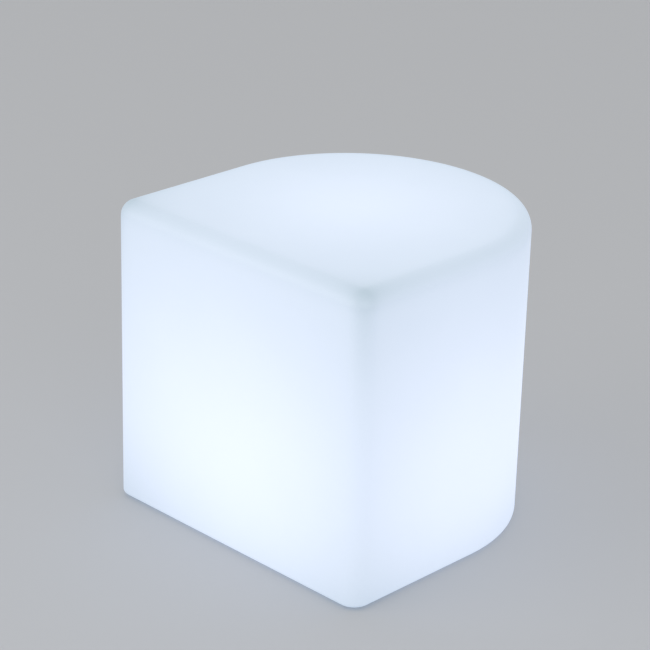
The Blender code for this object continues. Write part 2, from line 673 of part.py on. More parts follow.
def make_led_board(material):
    """The light board: emitters soldered on top, and a header that reaches down into the cup."""
    radius = HEAT_PLATE_RADIUS - LED_BOARD_STEP
    profile = [(radius, LED_BOARD_Z), (radius, LED_BOARD_TOP_Z)]
    board = turned("light_board", profile, WIDE_SIDES, material)
    root_z = LED_BOARD_TOP_Z - LED_BOARD_THICKNESS / 2
    size = (LED_SIDE, LED_SIDE, LED_HEIGHT + LED_BOARD_THICKNESS / 2)
    for share, count in LED_RINGS_SHARE:
        for k, (x, y) in enumerate(on_circle(share * LED_SCREW_CIRCLE, count)):
            emitter = block(f"emitter_{count}_{k}", size, (x, y, root_z))
            emitter.rotation_euler.z = math.atan2(y, x)
            join(board, emitter)
    header_z = CUP_CEILING_Z - LED_HEADER_DROP
    size = (LED_HEADER_LENGTH, LED_HEADER_WIDTH, root_z - header_z)
    join(board, block("header", size, (LED_SCREW_CIRCLE, 0, header_z)))
    for place in led_screw_places():
        hole = SMALL_SHANK_RADIUS + TOUCH_GAP
        drill(board, place, hole, LED_BOARD_Z - CUT_OVERRUN, LED_BOARD_TOP_Z + CUT_OVERRUN)


def dome_line(radius, base_z, rise):
    """The dome's wall and crown, from its foot to the flat at the middle."""
    crown = radius * DOME_CROWN_SHARE
    turns = [math.pi / 2 * k / DOME_STEPS for k in range(DOME_STEPS + 1)]
    line = [(radius, base_z)]
    line += [
        (crown + (radius - crown) * math.cos(turn), base_z + DOME_WALL_HEIGHT + rise * math.sin(turn))
        for turn in turns
    ]
    return line


def make_dome(material):
    """The frosted dome over the light board: a flange for its screws, an upright wall and a low crown."""
    flange_top = DOME_Z + DOME_FLANGE_THICKNESS
    outside = dome_line(DOME_RADIUS, flange_top, DOME_RISE)
    inside = dome_line(DOME_RADIUS - DOME_WALL, flange_top, DOME_RISE - DOME_WALL)
    inside[0] = (DOME_RADIUS - DOME_WALL, DOME_Z)
    profile = outside[::-1] + [(DOME_FLANGE_RADIUS, flange_top), (DOME_FLANGE_RADIUS, DOME_Z)] + inside
    dome = turned("diffuser_dome", profile, WIDE_SIDES, material)
    for place in lens_screw_places():
        hole = SMALL_SHANK_RADIUS + TOUCH_GAP
        drill(dome, place, hole, DOME_Z - CUT_OVERRUN, flange_top + CUT_OVERRUN)


def make_lamp_screws(steel):
    length = LED_BOARD_TOP_Z - CUP_CEILING_Z + BOSS_BITE
    for k, (x, y) in enumerate(led_screw_places(), 1):
        small_screw(f"light_board_screw_{k}", x, y, LED_BOARD_TOP_Z, length, steel)
    flange_top = DOME_Z + DOME_FLANGE_THICKNESS
    length = flange_top - CUP_CEILING_Z + BOSS_BITE
    for k, (x, y) in enumerate(lens_screw_places(), 1):
        small_screw(f"dome_screw_{k}", x, y, flange_top, length, steel)


# Battery: tray, two cells side by side, and a contact strip at each end
HOLDER_NOTCH_WIDTH = 0.005
CONTACT_TAIL_LENGTH = 0.002
CONTACT_TAIL_WIDTH = 0.003
CONTACT_TAIL_RISE_SHARE = 0.45
CONTACT_HEIGHT_SHARE = 0.85
HOLDER_TAB_WIDTH = 0.009
CELL_X = CELL_RADIUS + CELL_SPACE / 2
CONTACT_X = HOLDER_LENGTH / 2 - HOLDER_WALL - TOUCH_GAP - CONTACT_THICKNESS / 2
CONTACT_HEIGHT = (HOLDER_HEIGHT - HOLDER_FLOOR) * CONTACT_HEIGHT_SHARE
CONTACT_TAIL_Z = HOLDER_Z + HOLDER_FLOOR + TOUCH_GAP + CONTACT_HEIGHT * CONTACT_TAIL_RISE_SHARE


def make_battery_holder(material):
    holder = block("battery_holder", (HOLDER_LENGTH, HOLDER_WIDTH, HOLDER_HEIGHT), (0, 0, HOLDER_Z), material)
    tab_length = 2 * (HOLDER_POST_Y + HOLDER_POST_RADIUS)
    join(holder, block("holder_tabs", (HOLDER_TAB_WIDTH, tab_length, HOLDER_FLOOR), (0, 0, HOLDER_Z)))
    well_z = HOLDER_Z + HOLDER_FLOOR
    well = (HOLDER_LENGTH - 2 * HOLDER_WALL, HOLDER_WIDTH - 2 * HOLDER_WALL, HOLDER_HEIGHT)
    cut(holder, block("holder_well", well, (0, 0, well_z)))
    notch = (HOLDER_LENGTH + 2 * CUT_OVERRUN, HOLDER_NOTCH_WIDTH, HOLDER_HEIGHT)
    notch_z = CONTACT_TAIL_Z - CONTACT_TAIL_WIDTH / 2 - TOUCH_GAP
    cut(holder, block("holder_notches", notch, (0, 0, max(notch_z, well_z + TOUCH_GAP))))
    for place in holder_post_places():
        drill(holder, place, SMALL_SHANK_RADIUS + TOUCH_GAP, HOLDER_Z - CUT_OVERRUN, well_z + CUT_OVERRUN)


def make_cells(wrap):
    half = CELL_LENGTH / 2
    profile = [
        (CELL_RADIUS, -half),
        (CELL_RADIUS, half),
        (CELL_CAP_RADIUS, half),
        (CELL_CAP_RADIUS, half + CELL_CAP_HEIGHT),
    ]
    for k, side in enumerate((1, -1), 1):
        cell = turned(f"battery_cell_{k}", profile, FOOT_SIDES, wrap, at=(0, side * CELL_X, CELL_Z))
        cell.rotation_euler.y = math.pi / 2


def make_contacts(nickel):
    """The strips that join the cells' ends. Each has a tail through the tray's end wall for its lead."""
    width = HOLDER_WIDTH - 2 * HOLDER_WALL - 2 * TOUCH_GAP
    strip_z = HOLDER_Z + HOLDER_FLOOR + TOUCH_GAP
    for name, side in (("battery_contact_plus", 1), ("battery_contact_minus", -1)):
        size = (CONTACT_THICKNESS, width, CONTACT_HEIGHT)
        contact = block(name, size, (side * CONTACT_X, 0, strip_z), nickel)
        reach = HOLDER_LENGTH / 2 + CONTACT_TAIL_LENGTH - CONTACT_X
        size = (reach, CONTACT_TAIL_WIDTH, CONTACT_TAIL_WIDTH / 2)
        tail_z = CONTACT_TAIL_Z - CONTACT_TAIL_WIDTH / 4
        join(contact, block(f"tail_{name}", size, (side * (CONTACT_X + reach / 2), 0, tail_z)))


# Control board: its parts, the switch, the charging jack, the indicator and the remote sensor's window
CHIP_SIDE = 0.009
CHIP_HEIGHT = 0.0012
CHIP_PLACE_SHARE = (-0.25, 0.40)
COIL_SIDE = 0.007
COIL_HEIGHT = 0.0036
COIL_PLACE_SHARE = (0.15, -0.45)
CAPACITOR_RADIUS = 0.0025
CAPACITOR_HEIGHT = 0.004
CAPACITOR_PLACE_SHARE = (-0.55, -0.45)
CONNECTOR_X = BOARD_LENGTH / 2 - CONNECTOR_INSET - CONNECTOR_LENGTH / 2
SWITCH_SIDE = 0.008
SWITCH_HEIGHT = 0.006
STEM_RADIUS = 0.0016
STEM_OVERLAP = 0.001
BUTTON_TRAVEL = 0.0015
BUTTON_PROUD = 0.0018
BUTTON_FLANGE_WIDTH = 0.0018
BUTTON_FLANGE_THICKNESS = 0.0012
BUTTON_CROWN = 0.0006
SPRING_WIRE_RADIUS = 0.0003
SPRING_RADIUS = 0.0036
SPRING_TURNS = 5
SPRING_POINTS_PER_TURN = 10
LENS_FLANGE_WIDTH = 0.0014
LENS_FLANGE_THICKNESS = 0.001
SENSOR_RISE = 0.004


def board_place(place_share):
    across, along = place_share
    return across * BOARD_LENGTH / 2, along * BOARD_WIDTH / 2


def make_control_board(material):
    board_size = (BOARD_LENGTH, BOARD_WIDTH, BOARD_THICKNESS)
    board = block("control_board", board_size, (0, 0, BOARD_BOTTOM_Z), material)
    root_z = BOARD_TOP_Z - BOARD_THICKNESS / 2
    sunk = BOARD_THICKNESS / 2
    parts = [
        ("chip", (CHIP_SIDE, CHIP_SIDE, CHIP_HEIGHT + sunk), board_place(CHIP_PLACE_SHARE)),
        ("coil", (COIL_SIDE, COIL_SIDE, COIL_HEIGHT + sunk), board_place(COIL_PLACE_SHARE)),
    ]
    connector = (CONNECTOR_LENGTH, CONNECTOR_WIDTH, CONNECTOR_HEIGHT + sunk)
    parts += [
        ("plus_connector", connector, (CONNECTOR_X, 0)),
        ("minus_connector", connector, (-CONNECTOR_X, 0)),
        ("light_connector", connector, (CONNECTOR_X, LED_CONNECTOR_Y)),
    ]
    for name, size, (x, y) in parts:
        join(board, block(name, size, (x, y, root_z)))
    x, y = board_place(CAPACITOR_PLACE_SHARE)
    add_post(board, (x, y), CAPACITOR_RADIUS, root_z, BOARD_TOP_Z + CAPACITOR_HEIGHT)
    for place in board_hole_places():
        hole = SMALL_SHANK_RADIUS + TOUCH_GAP
        drill(board, place, hole, BOARD_BOTTOM_Z - CUT_OVERRUN, BOARD_TOP_Z + CUT_OVERRUN)


def make_board_screws(steel):
    for k, (x, y) in enumerate(board_hole_places(), 1):
        length = BOARD_THICKNESS + TOUCH_GAP + BOARD_SCREW_BITE
        small_screw(f"board_screw_{k}", x, y, BOARD_TOP_Z, length, steel)
    for k, (x, y) in enumerate(holder_post_places(), 1):
        length = HOLDER_FLOOR + TOUCH_GAP + BOARD_SCREW_BITE
        small_screw(f"holder_screw_{k}", x, y, HOLDER_Z + HOLDER_FLOOR, length, steel)


def make_jack(material):
    """The charging jack under the board, open downwards, with its centre pin."""
    top = BOARD_BOTTOM_Z - TOUCH_GAP
    mouth = top - JACK_HEIGHT
    floor = mouth + JACK_BORE_DEPTH
    profile = [
        (JACK_RADIUS, top),
        (JACK_RADIUS, mouth),
        (JACK_BORE_RADIUS, mouth),
        (JACK_BORE_RADIUS, floor),
        (JACK_PIN_RADIUS, floor),
        (JACK_PIN_RADIUS, mouth + JACK_PIN_SETBACK),
    ]
    turned("charge_jack", profile, FOOT_SIDES, material, at=(PORT_X, 0, 0))


SWITCH_Z = BOARD_BOTTOM_Z - TOUCH_GAP - SWITCH_HEIGHT
BUTTON_FLANGE_Z = PLATE_TOP_Z + TOUCH_GAP


def make_switch(housing, button_plastic, steel):
    """The switch under the board, the button that slides in the plate, and the spring between them."""
    switch = block("switch_body", (SWITCH_SIDE, SWITCH_SIDE, SWITCH_HEIGHT), (BUTTON_X, 0, SWITCH_Z), housing)
    bore_top = SWITCH_Z + STEM_OVERLAP + BUTTON_TRAVEL + TOUCH_GAP
    drill(switch, (BUTTON_X, 0), STEM_RADIUS + TOUCH_GAP, SWITCH_Z - CUT_OVERRUN, bore_top)

    face_z = PLATE_BOTTOM_Z - BUTTON_PROUD
    flange_top = BUTTON_FLANGE_Z + BUTTON_FLANGE_THICKNESS
    profile = [
        (BUTTON_RADIUS - 2 * BUTTON_CROWN, face_z),
        (BUTTON_RADIUS, face_z + BUTTON_CROWN),
        (BUTTON_RADIUS, BUTTON_FLANGE_Z),
        (BUTTON_RADIUS + BUTTON_FLANGE_WIDTH, BUTTON_FLANGE_Z),
        (BUTTON_RADIUS + BUTTON_FLANGE_WIDTH, flange_top),
        (STEM_RADIUS, flange_top),
        (STEM_RADIUS, SWITCH_Z + STEM_OVERLAP),
    ]
    turned("power_button", profile, FOOT_SIDES, button_plastic, at=(BUTTON_X, 0, 0))

    low = flange_top + TOUCH_GAP + SPRING_WIRE_RADIUS
    high = SWITCH_Z - TOUCH_GAP - SPRING_WIRE_RADIUS
    count = SPRING_TURNS * SPRING_POINTS_PER_TURN
    points = []
    for k in range(count + 1):
        turn = math.tau * k / SPRING_POINTS_PER_TURN
        x = SPRING_RADIUS * math.cos(turn)
        y = SPRING_RADIUS * math.sin(turn)
        points.append((BUTTON_X + x, y, low + (high - low) * k / count))
    tube("button_spring", points, SPRING_WIRE_RADIUS, steel, 1)
    print("button_spring: least gap to itself", round(least_gap(points, SPRING_WIRE_RADIUS), 5), "m")


def least_gap(points, wire_radius):
    """The least gap of a coil to itself, between points that lie half a turn or more apart."""
    far = SPRING_POINTS_PER_TURN // 2
    spans = (math.dist(one, other) for k, one in enumerate(points) for other in points[k + far :])
    return min(spans) - 2 * wire_radius


def tube(name, points, radius, material, fineness=2):
    """A round wire through the points, with its ends closed."""
    curve = bpy.data.curves.new(name, "CURVE")
    curve.dimensions = "3D"
    curve.bevel_depth = radius
    curve.bevel_resolution = fineness
    curve.use_fill_caps = True
    curve.materials.append(material)
    spline = curve.splines.new("POLY")
    spline.points.add(len(points) - 1)
    for point, (x, y, z) in zip(spline.points, points):
        point.co = (x, y, z, 1)
    made = bpy.data.objects.new(name, curve)
    bpy.context.scene.collection.objects.link(made)
    return made


def make_windows(clear, dark):
    """The charge indicator's light pipe and the remote sensor's dark window, seated from inside."""
    seat = PLATE_TOP_Z + TOUCH_GAP
    flange_top = seat + LENS_FLANGE_THICKNESS
    pipe_top = BOARD_BOTTOM_Z - TOUCH_GAP
    profile = [
        (INDICATOR_RADIUS, PLATE_BOTTOM_Z),
        (INDICATOR_RADIUS, seat),
        (INDICATOR_RADIUS + LENS_FLANGE_WIDTH, seat),
        (INDICATOR_RADIUS + LENS_FLANGE_WIDTH, flange_top),
        (INDICATOR_RADIUS, flange_top),
        (INDICATOR_RADIUS, pipe_top),
    ]
    turned("indicator_lens", profile, SMALL_SIDES, clear, at=(0, INDICATOR_Y, 0))
    profile = [
        (SENSOR_RADIUS - TOUCH_GAP, PLATE_BOTTOM_Z - TOUCH_GAP),
        (SENSOR_RADIUS, PLATE_BOTTOM_Z),
        (SENSOR_RADIUS, seat),
        (SENSOR_RADIUS + LENS_FLANGE_WIDTH, seat),
        (SENSOR_RADIUS + LENS_FLANGE_WIDTH, flange_top),
        (SENSOR_RADIUS, flange_top),
        (SENSOR_RADIUS, seat + SENSOR_RISE),
    ]
    turned("sensor_window", profile, SMALL_SIDES, dark, at=(0, SENSOR_Y, 0))


# Charging port's silicone cap, and the anchor that its strap bends from
CAP_PLUG_CLEARANCE = 0.00035
CAP_PLUG_DEPTH = 0.0012
STRAP_WIDTH = 0.005
FINGER_TAB_LENGTH = 0.0025
ANCHOR_BARB_RADIUS = 0.0022
ANCHOR_BARB_HEIGHT = 0.0015
CAP_Z = PLATE_BOTTOM_Z - TOUCH_GAP - CAP_THICKNESS


def make_charge_cap(silicone):
    """The cap hangs on an empty at the line where its strap bends, on the outer face of the strap."""
    hinge = bpy.data.objects.new("cap_hinge", None)
    hinge.location = (HINGE_X, 0, CAP_Z)
    bpy.context.scene.collection.objects.link(hinge)
    plug_top = CAP_THICKNESS + TOUCH_GAP + CAP_PLUG_DEPTH
    plug_radius = PORT_RADIUS - CAP_PLUG_CLEARANCE
    profile = [
        (CAP_RADIUS, 0),
        (CAP_RADIUS, CAP_THICKNESS),
        (plug_radius, CAP_THICKNESS),
        (plug_radius, plug_top),
    ]
    cap = turned("charge_cap", profile, FOOT_SIDES, silicone, at=(PORT_X - HINGE_X, 0, 0))
    cap.parent = hinge
    centre = PORT_X - HINGE_X
    strap_end = -TOUCH_GAP / 2
    strap_start = centre + CAP_RADIUS / 2
    size = (strap_end - strap_start, STRAP_WIDTH, CAP_THICKNESS / 2)
    strap = block("cap_strap", size, ((strap_start + strap_end) / 2, 0, 0))
    tab_end = centre - CAP_RADIUS - FINGER_TAB_LENGTH
    tab_start = centre - CAP_RADIUS / 2
    size = (tab_start - tab_end, STRAP_WIDTH, CAP_THICKNESS / 2)
    tab = block("cap_tab", size, ((tab_start + tab_end) / 2, 0, 0))
    for helper in (strap, tab):
        helper.parent = hinge
        join(cap, helper)

    size = (ANCHOR_LENGTH, STRAP_WIDTH, CAP_THICKNESS)
    anchor = block("cap_anchor", size, (ANCHOR_X, 0, CAP_Z), silicone)
    barb_z = PLATE_TOP_Z + TOUCH_GAP
    stud = [
        (ANCHOR_STUD_RADIUS, CAP_Z + CAP_THICKNESS / 2),
        (ANCHOR_STUD_RADIUS, barb_z),
        (ANCHOR_BARB_RADIUS, barb_z),
        (ANCHOR_STUD_RADIUS, barb_z + ANCHOR_BARB_HEIGHT),
    ]
    join(anchor, turned("anchor_stud", stud, SMALL_SIDES, at=(ANCHOR_X, 0, 0)))


# Leads inside the lamp
LEAD_RADIUS = 0.0008
LEAD_BULGE = 0.007
LEAD_STEPS = 14
LIGHT_CABLE_RADIUS = 0.0015
LIGHT_CABLE_REACH = 0.008


def make_battery_leads(red, black):
    """A short loop from each contact's tail down to its connector on the board."""
    connector_z = BOARD_TOP_Z + CONNECTOR_HEIGHT / 2
    tail_x = HOLDER_LENGTH / 2 + CONTACT_TAIL_LENGTH + TOUCH_GAP
    connector_x = BOARD_LENGTH / 2 - CONNECTOR_INSET + TOUCH_GAP
    for name, side, material in (("battery_lead_plus", 1, red), ("battery_lead_minus", -1, black)):
        points = []
        for k in range(LEAD_STEPS + 1):
            share = k / LEAD_STEPS
            eased = (1 - math.cos(math.pi * share)) / 2
            x = tail_x + (connector_x - tail_x) * eased + LEAD_BULGE * math.sin(math.pi * share)
            points.append((side * x, 0, CONTACT_TAIL_Z + (connector_z - CONTACT_TAIL_Z) * eased))
        tube(name, points, LEAD_RADIUS, material)


def make_light_cable(material):
    """The cable from the board's light connector out and up to the light board's header."""
    start = Vector((BOARD_LENGTH / 2 - CONNECTOR_INSET + TOUCH_GAP, LED_CONNECTOR_Y, 0))
    start.z = BOARD_TOP_Z + CONNECTOR_HEIGHT / 2
    end = Vector((LED_SCREW_CIRCLE, 0, CUP_CEILING_Z - LED_HEADER_DROP - TOUCH_GAP))
    leave = start + Vector((LIGHT_CABLE_REACH, 0, 0))
    arrive = end - Vector((0, 0, LIGHT_CABLE_REACH))
    points = []
    for k in range(LEAD_STEPS + 1):
        share = k / LEAD_STEPS
        rest = 1 - share
        near = start * rest**3 + leave * 3 * rest**2 * share
        points.append(near + arrive * 3 * rest * share**2 + end * share**3)
    tube("light_cable", points, LIGHT_CABLE_RADIUS, material)


def make_stool():
    clear_scene()
    shell_plastic = finish("shell_plastic", (0.86, 0.90, 0.96), 0.45, glow=0.5)
    lamp_plastic = finish("lamp_plastic", (0.80, 0.80, 0.78), 0.5)
    frosted_plastic = finish("frosted_plastic", (0.90, 0.93, 0.97), 0.6)
    silicone = finish("silicone", (0.55, 0.57, 0.58), 0.7)
    foot_rubber = finish("foot_rubber", (0.035, 0.035, 0.037), 0.85)
    black_plastic = finish("black_plastic", (0.02, 0.02, 0.022), 0.5)
    screw_steel = finish("screw_steel", (0.62, 0.62, 0.64), 0.3, 1.0)
    brass = finish("brass", (0.75, 0.56, 0.25), 0.35, 1.0)
    aluminium = finish("aluminium", (0.78, 0.79, 0.80), 0.4, 1.0)
    nickel = finish("nickel", (0.72, 0.70, 0.66), 0.3, 1.0)
    board_green = finish("board_green", (0.02, 0.16, 0.06), 0.4)
    light_board_white = finish("light_board_white", (0.85, 0.85, 0.82), 0.4)
    cell_wrap = finish("cell_wrap", (0.05, 0.22, 0.55), 0.35)
    red_lead = finish("red_lead", (0.60, 0.03, 0.02), 0.5)
    black_lead = finish("black_lead", (0.03, 0.03, 0.03), 0.5)
    grey_lead = finish("grey_lead", (0.45, 0.45, 0.46), 0.5)
    smoked_plastic = finish("smoked_plastic", (0.05, 0.01, 0.015), 0.15)

    make_shell(shell_plastic)
    make_feet(foot_rubber, screw_steel)
    make_inserts(brass)
    make_vent_plug(silicone)
    make_seals(silicone)
    make_cup(lamp_plastic)
    make_base_plate(lamp_plastic)
    make_flange_screws(screw_steel)
    make_heat_plate(aluminium)
    make_led_board(light_board_white)
    make_dome(frosted_plastic)
    make_lamp_screws(screw_steel)
    make_battery_holder(black_plastic)
    make_cells(cell_wrap)
    make_contacts(nickel)
    make_control_board(board_green)
    make_board_screws(screw_steel)
    make_jack(black_plastic)
    make_switch(black_plastic, frosted_plastic, screw_steel)
    make_windows(frosted_plastic, smoked_plastic)
    make_charge_cap(silicone)
    make_battery_leads(red_lead, black_lead)
    make_light_cable(grey_lead)


make_stool()
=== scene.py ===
# %% [markdown]
# # A light-up stool, dressed step by step
# The stool is a hollow block of milky plastic, with a flat front, two flat sides and a half-round end.
# A battery lamp is screwed into its underside and makes the whole block glow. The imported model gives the
# true solids. This lesson builds the finer surfaces over them, and then the finishes, the light and the view.

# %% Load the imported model
import json
import math

import bmesh
import bpy
from mathutils import Matrix, Vector, geometry

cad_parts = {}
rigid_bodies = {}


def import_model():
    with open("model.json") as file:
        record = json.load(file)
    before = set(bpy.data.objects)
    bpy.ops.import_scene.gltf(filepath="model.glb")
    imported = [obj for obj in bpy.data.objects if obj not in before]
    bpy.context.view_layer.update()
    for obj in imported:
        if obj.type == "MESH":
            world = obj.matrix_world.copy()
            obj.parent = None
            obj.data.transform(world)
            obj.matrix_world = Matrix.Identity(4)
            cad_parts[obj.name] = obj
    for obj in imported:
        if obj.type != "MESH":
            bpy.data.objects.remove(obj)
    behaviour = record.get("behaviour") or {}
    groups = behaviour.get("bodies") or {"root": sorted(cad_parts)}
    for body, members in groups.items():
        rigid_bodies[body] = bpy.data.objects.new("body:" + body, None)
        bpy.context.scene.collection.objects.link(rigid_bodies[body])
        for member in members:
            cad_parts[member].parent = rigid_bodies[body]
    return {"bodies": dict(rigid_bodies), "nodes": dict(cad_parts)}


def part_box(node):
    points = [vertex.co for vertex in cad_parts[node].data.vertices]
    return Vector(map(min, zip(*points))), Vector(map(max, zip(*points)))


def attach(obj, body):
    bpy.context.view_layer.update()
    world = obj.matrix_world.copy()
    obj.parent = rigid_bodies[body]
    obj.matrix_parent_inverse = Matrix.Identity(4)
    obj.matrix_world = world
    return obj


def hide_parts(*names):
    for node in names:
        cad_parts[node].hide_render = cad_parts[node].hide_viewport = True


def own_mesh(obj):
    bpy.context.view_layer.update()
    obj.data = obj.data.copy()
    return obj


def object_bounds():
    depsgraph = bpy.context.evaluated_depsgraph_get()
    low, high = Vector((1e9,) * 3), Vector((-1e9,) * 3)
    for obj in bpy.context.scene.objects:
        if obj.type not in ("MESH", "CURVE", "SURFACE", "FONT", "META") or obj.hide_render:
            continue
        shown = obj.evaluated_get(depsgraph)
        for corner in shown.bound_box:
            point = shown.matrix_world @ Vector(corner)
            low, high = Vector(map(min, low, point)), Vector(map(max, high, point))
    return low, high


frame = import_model()
cad_box = [list(corner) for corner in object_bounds()]
print("nodes:", len(frame["nodes"]), "bodies:", list(frame["bodies"]))

# %% [markdown]
# ## The view
# The photograph was taken from above the stool's right front corner with a long lens. A pinhole camera was
# fitted to the stool's outline there. The result could be typed as one matrix, but turns and moves in a row
# are easier to check: go to the target, turn, tilt and roll there, and step back.

# %% Camera
CAMERA_AZIMUTH = math.radians(44.351)
CAMERA_ELEVATION = math.radians(22.996)
CAMERA_ROLL = math.radians(1.516)
CAMERA_DISTANCE = 2.9858
CAMERA_TARGET = Vector((-0.05468, 0.0025, 0.22296))
FOCAL_LENGTH = 131.12  # millimetres
SENSOR_WIDTH = 36.0  # millimetres


def show(name, data):
    """A new object in the scene."""
    made = bpy.data.objects.new(name, data)
    bpy.context.scene.collection.objects.link(made)
    return made


camera = show("camera", bpy.data.cameras.new("camera"))
camera.data.lens = FOCAL_LENGTH
camera.data.sensor_width = SENSOR_WIDTH
camera.data.sensor_fit = "HORIZONTAL"
camera.matrix_world = (
    Matrix.Translation(CAMERA_TARGET)
    @ Matrix.Rotation(CAMERA_AZIMUTH, 4, "Z")
    @ Matrix.Rotation(math.pi / 2 - CAMERA_ELEVATION, 4, "X")
    @ Matrix.Rotation(CAMERA_ROLL, 4, "Z")
    @ Matrix.Translation((0, 0, CAMERA_DISTANCE))
)
bpy.context.scene.camera = camera
bpy.context.scene.view_settings.view_transform = "Standard"
print("camera stands at", [round(part, 3) for part in camera.matrix_world.translation])

# %% [markdown]
# ## Node graphs as sums
# Materials and Geometry Nodes are both graphs of nodes. Adding each node by hand makes long code, so a small
# class wraps an output socket, and its operators add the Math nodes. A graph's one method, add, makes any
# other node: its settings come first, because they decide which sockets it has.

# %% Wires and graphs
OPERATORS = {"add": "ADD", "sub": "SUBTRACT", "mul": "MULTIPLY", "truediv": "DIVIDE", "pow": "POWER"}


class Wire:
    """One output socket. Sums, products and powers of wires add the Math nodes that work them out."""

    def __init__(self, graph, socket):
        self.graph = graph
        self.socket = socket

    def __neg__(self):
        return self * -1.0


def overload(method, operation):
    """Gives wires an operator and its reflected form, so that 1 - wire works too."""
    setattr(Wire, f"__{method}__", lambda wire, other: wire.graph.maths(operation, wire, other))
    setattr(Wire, f"__r{method}__", lambda wire, other: wire.graph.maths(operation, other, wire))


class Graph:
    """A node tree that grows by one method."""

    def __init__(self, tree):
        self.tree = tree

    @staticmethod
    def find(sockets, key):
        """The socket of that name, or in that place of the row, among those in use."""
        enabled = [socket for socket in sockets if socket.enabled]
        return enabled[key] if isinstance(key, int) else next(one for one in enabled if one.name == key)

    def plug(self, socket, value):
        """Links a wire, or each wire of a list, to an input, or sets the input to a value."""
        if isinstance(value, list):
            for wire in value:
                self.plug(socket, wire)
        elif isinstance(value, Wire):
            self.tree.links.new(value.socket, socket)
        else:
            socket.default_value = value

    def add(self, kind, settings=None, sockets=None, output=0):
        node = self.tree.nodes.new(kind)
        for name, value in (settings or {}).items():
            setattr(node, name, value)
        for key, value in (sockets or {}).items():
            self.plug(self.find(node.inputs, key), value)
        return Wire(self, self.find(node.outputs, output))

    def maths(self, operation, *values):
        return self.add("ShaderNodeMath", {"operation": operation}, dict(enumerate(values)))


for method, operation in OPERATORS.items():
    overload(method, operation)
print("wires take", len(OPERATORS), "operators")

# %% [markdown]
# ## Recipes: Geometry Nodes trees with named sizes
# What repeats, and what follows a path, is made by Geometry Nodes. A recipe is such a tree with named
# inputs for its sizes and its material. Cooking it sets them by their identifiers, reads the result once and
# keeps a plain mesh, so that no modifier is left on the piece.

# %% Recipes
def modify(made, kind, **settings):
    modifier = made.modifiers.new(kind.lower(), kind)
    for name, value in settings.items():
        setattr(modifier, name, value)
    return modifier


def plain(made):
    """Keeps what the modifiers give as a plain mesh, and removes them."""
    depsgraph = bpy.context.evaluated_depsgraph_get()
    made.data = bpy.data.meshes.new_from_object(made.evaluated_get(depsgraph), depsgraph=depsgraph)
    made.modifiers.clear()
    return made


class Recipe(Graph):
    """A Geometry Nodes tree. Its first input is the geometry of the object that it is cooked on."""

    def __init__(self, name, **inputs):
        super().__init__(bpy.data.node_groups.new(name, "GeometryNodeTree"))
        self.identifiers = {}
        interface = self.tree.interface
        for label, kind in {"places": "Geometry", **inputs, "material": "Material"}.items():
            socket = interface.new_socket(label, in_out="INPUT", socket_type="NodeSocket" + kind)
            self.identifiers[label] = socket.identifier
        interface.new_socket("Geometry", in_out="OUTPUT", socket_type="NodeSocketGeometry")
        self.given = self.tree.nodes.new("NodeGroupInput")

    def __getitem__(self, label):
        return Wire(self, self.given.outputs[label])

    def serve(self, geometry):
        """Ends the tree: copies become real, the material is set, and the result goes out."""
        real = self.add("GeometryNodeRealizeInstances", sockets={"Geometry": geometry})
        dressed = self.add("GeometryNodeSetMaterial", sockets={"Geometry": real, "Material": self["material"]})
        self.plug(self.tree.nodes.new("NodeGroupOutput").inputs[0], dressed)
        print("recipe", self.tree.name, "has", len(self.tree.nodes), "nodes")
        return self

    def cook(self, name, places=(), joined=(), **values):
        pan = show(name, bpy.data.meshes.new(name))
        pan.data.from_pydata([tuple(place) for place in places], joined, [])
        modifier = modify(pan, "NODES", node_group=self.tree)
        for label, value in values.items():
            modifier[self.identifiers[label]] = value
        return plain(pan)


print("recipes are ready")

# %% [markdown]
# ## Turned and stacked solids
# Small parts are turned on a lathe or moulded, so most of them are a profile swept round an upright axis. A
# Screw modifier could do that. Rows of points, each joined to the next, do it too, and a row may also be a
# square or a hexagon, so that one function makes discs, blocks and the sockets of screws.

# %% Turning and stacking
ROUND_STEPS = 96
# Steps round smaller and larger things: a rivet, a pin, a can, a button, the base plate
TINY_STEPS, SMALL_STEPS, CAN_STEPS, MEDIUM_STEPS, DISC_STEPS = 16, 40, 48, 64, 144
WELD = 0.000002
SHARP = math.radians(32)


def tidy(made):
    """Merges double points, turns the faces outwards and shades round parts smooth."""
    bm = bmesh.new()
    bm.from_mesh(made.data)
    bmesh.ops.remove_doubles(bm, verts=bm.verts, dist=WELD)
    bmesh.ops.recalc_face_normals(bm, faces=bm.faces)
    bm.to_mesh(made.data)
    bm.free()
    made.data.shade_smooth()
    made.data.set_sharp_from_angle(angle=SHARP)
    return made


def stacked(name, stacks, closed=False):
    """A solid for each stack of rows of points, each row joined to the next, all in one mesh."""
    points, faces = [], []
    for rows in stacks:
        count = len(rows[0])
        rings = [range(len(points) + k * count, len(points) + (k + 1) * count) for k in range(len(rows))]
        points += [point for row in rows for point in row]
        for lower, upper in zip(rings, rings[1:] + rings[:1] if closed else rings[1:]):
            faces += [(lower[k - 1], lower[k], upper[k], upper[k - 1]) for k in range(count)]
        faces += [] if closed else [tuple(rings[0]), tuple(rings[-1])]
    made = show(name, bpy.data.meshes.new(name))
    made.data.from_pydata(points, [], faces)
    return tidy(made)


def ring(at, steps, reach, height, corners=0):
    """A row of points: a circle, or a polygon with its sides as far away. Two sides of a square face X."""
    turns = [math.tau * (k + 0.5) / steps for k in range(steps)]
    wedge = math.tau / max(corners, 1)
    leans = [(turn + wedge / 2) % wedge - wedge / 2 if corners else 0.0 for turn in turns]
    polar = [(reach / math.cos(lean), turn) for lean, turn in zip(leans, turns)]
    return [(at[0] + span * math.cos(turn), at[1] + span * math.sin(turn), height) for span, turn in polar]


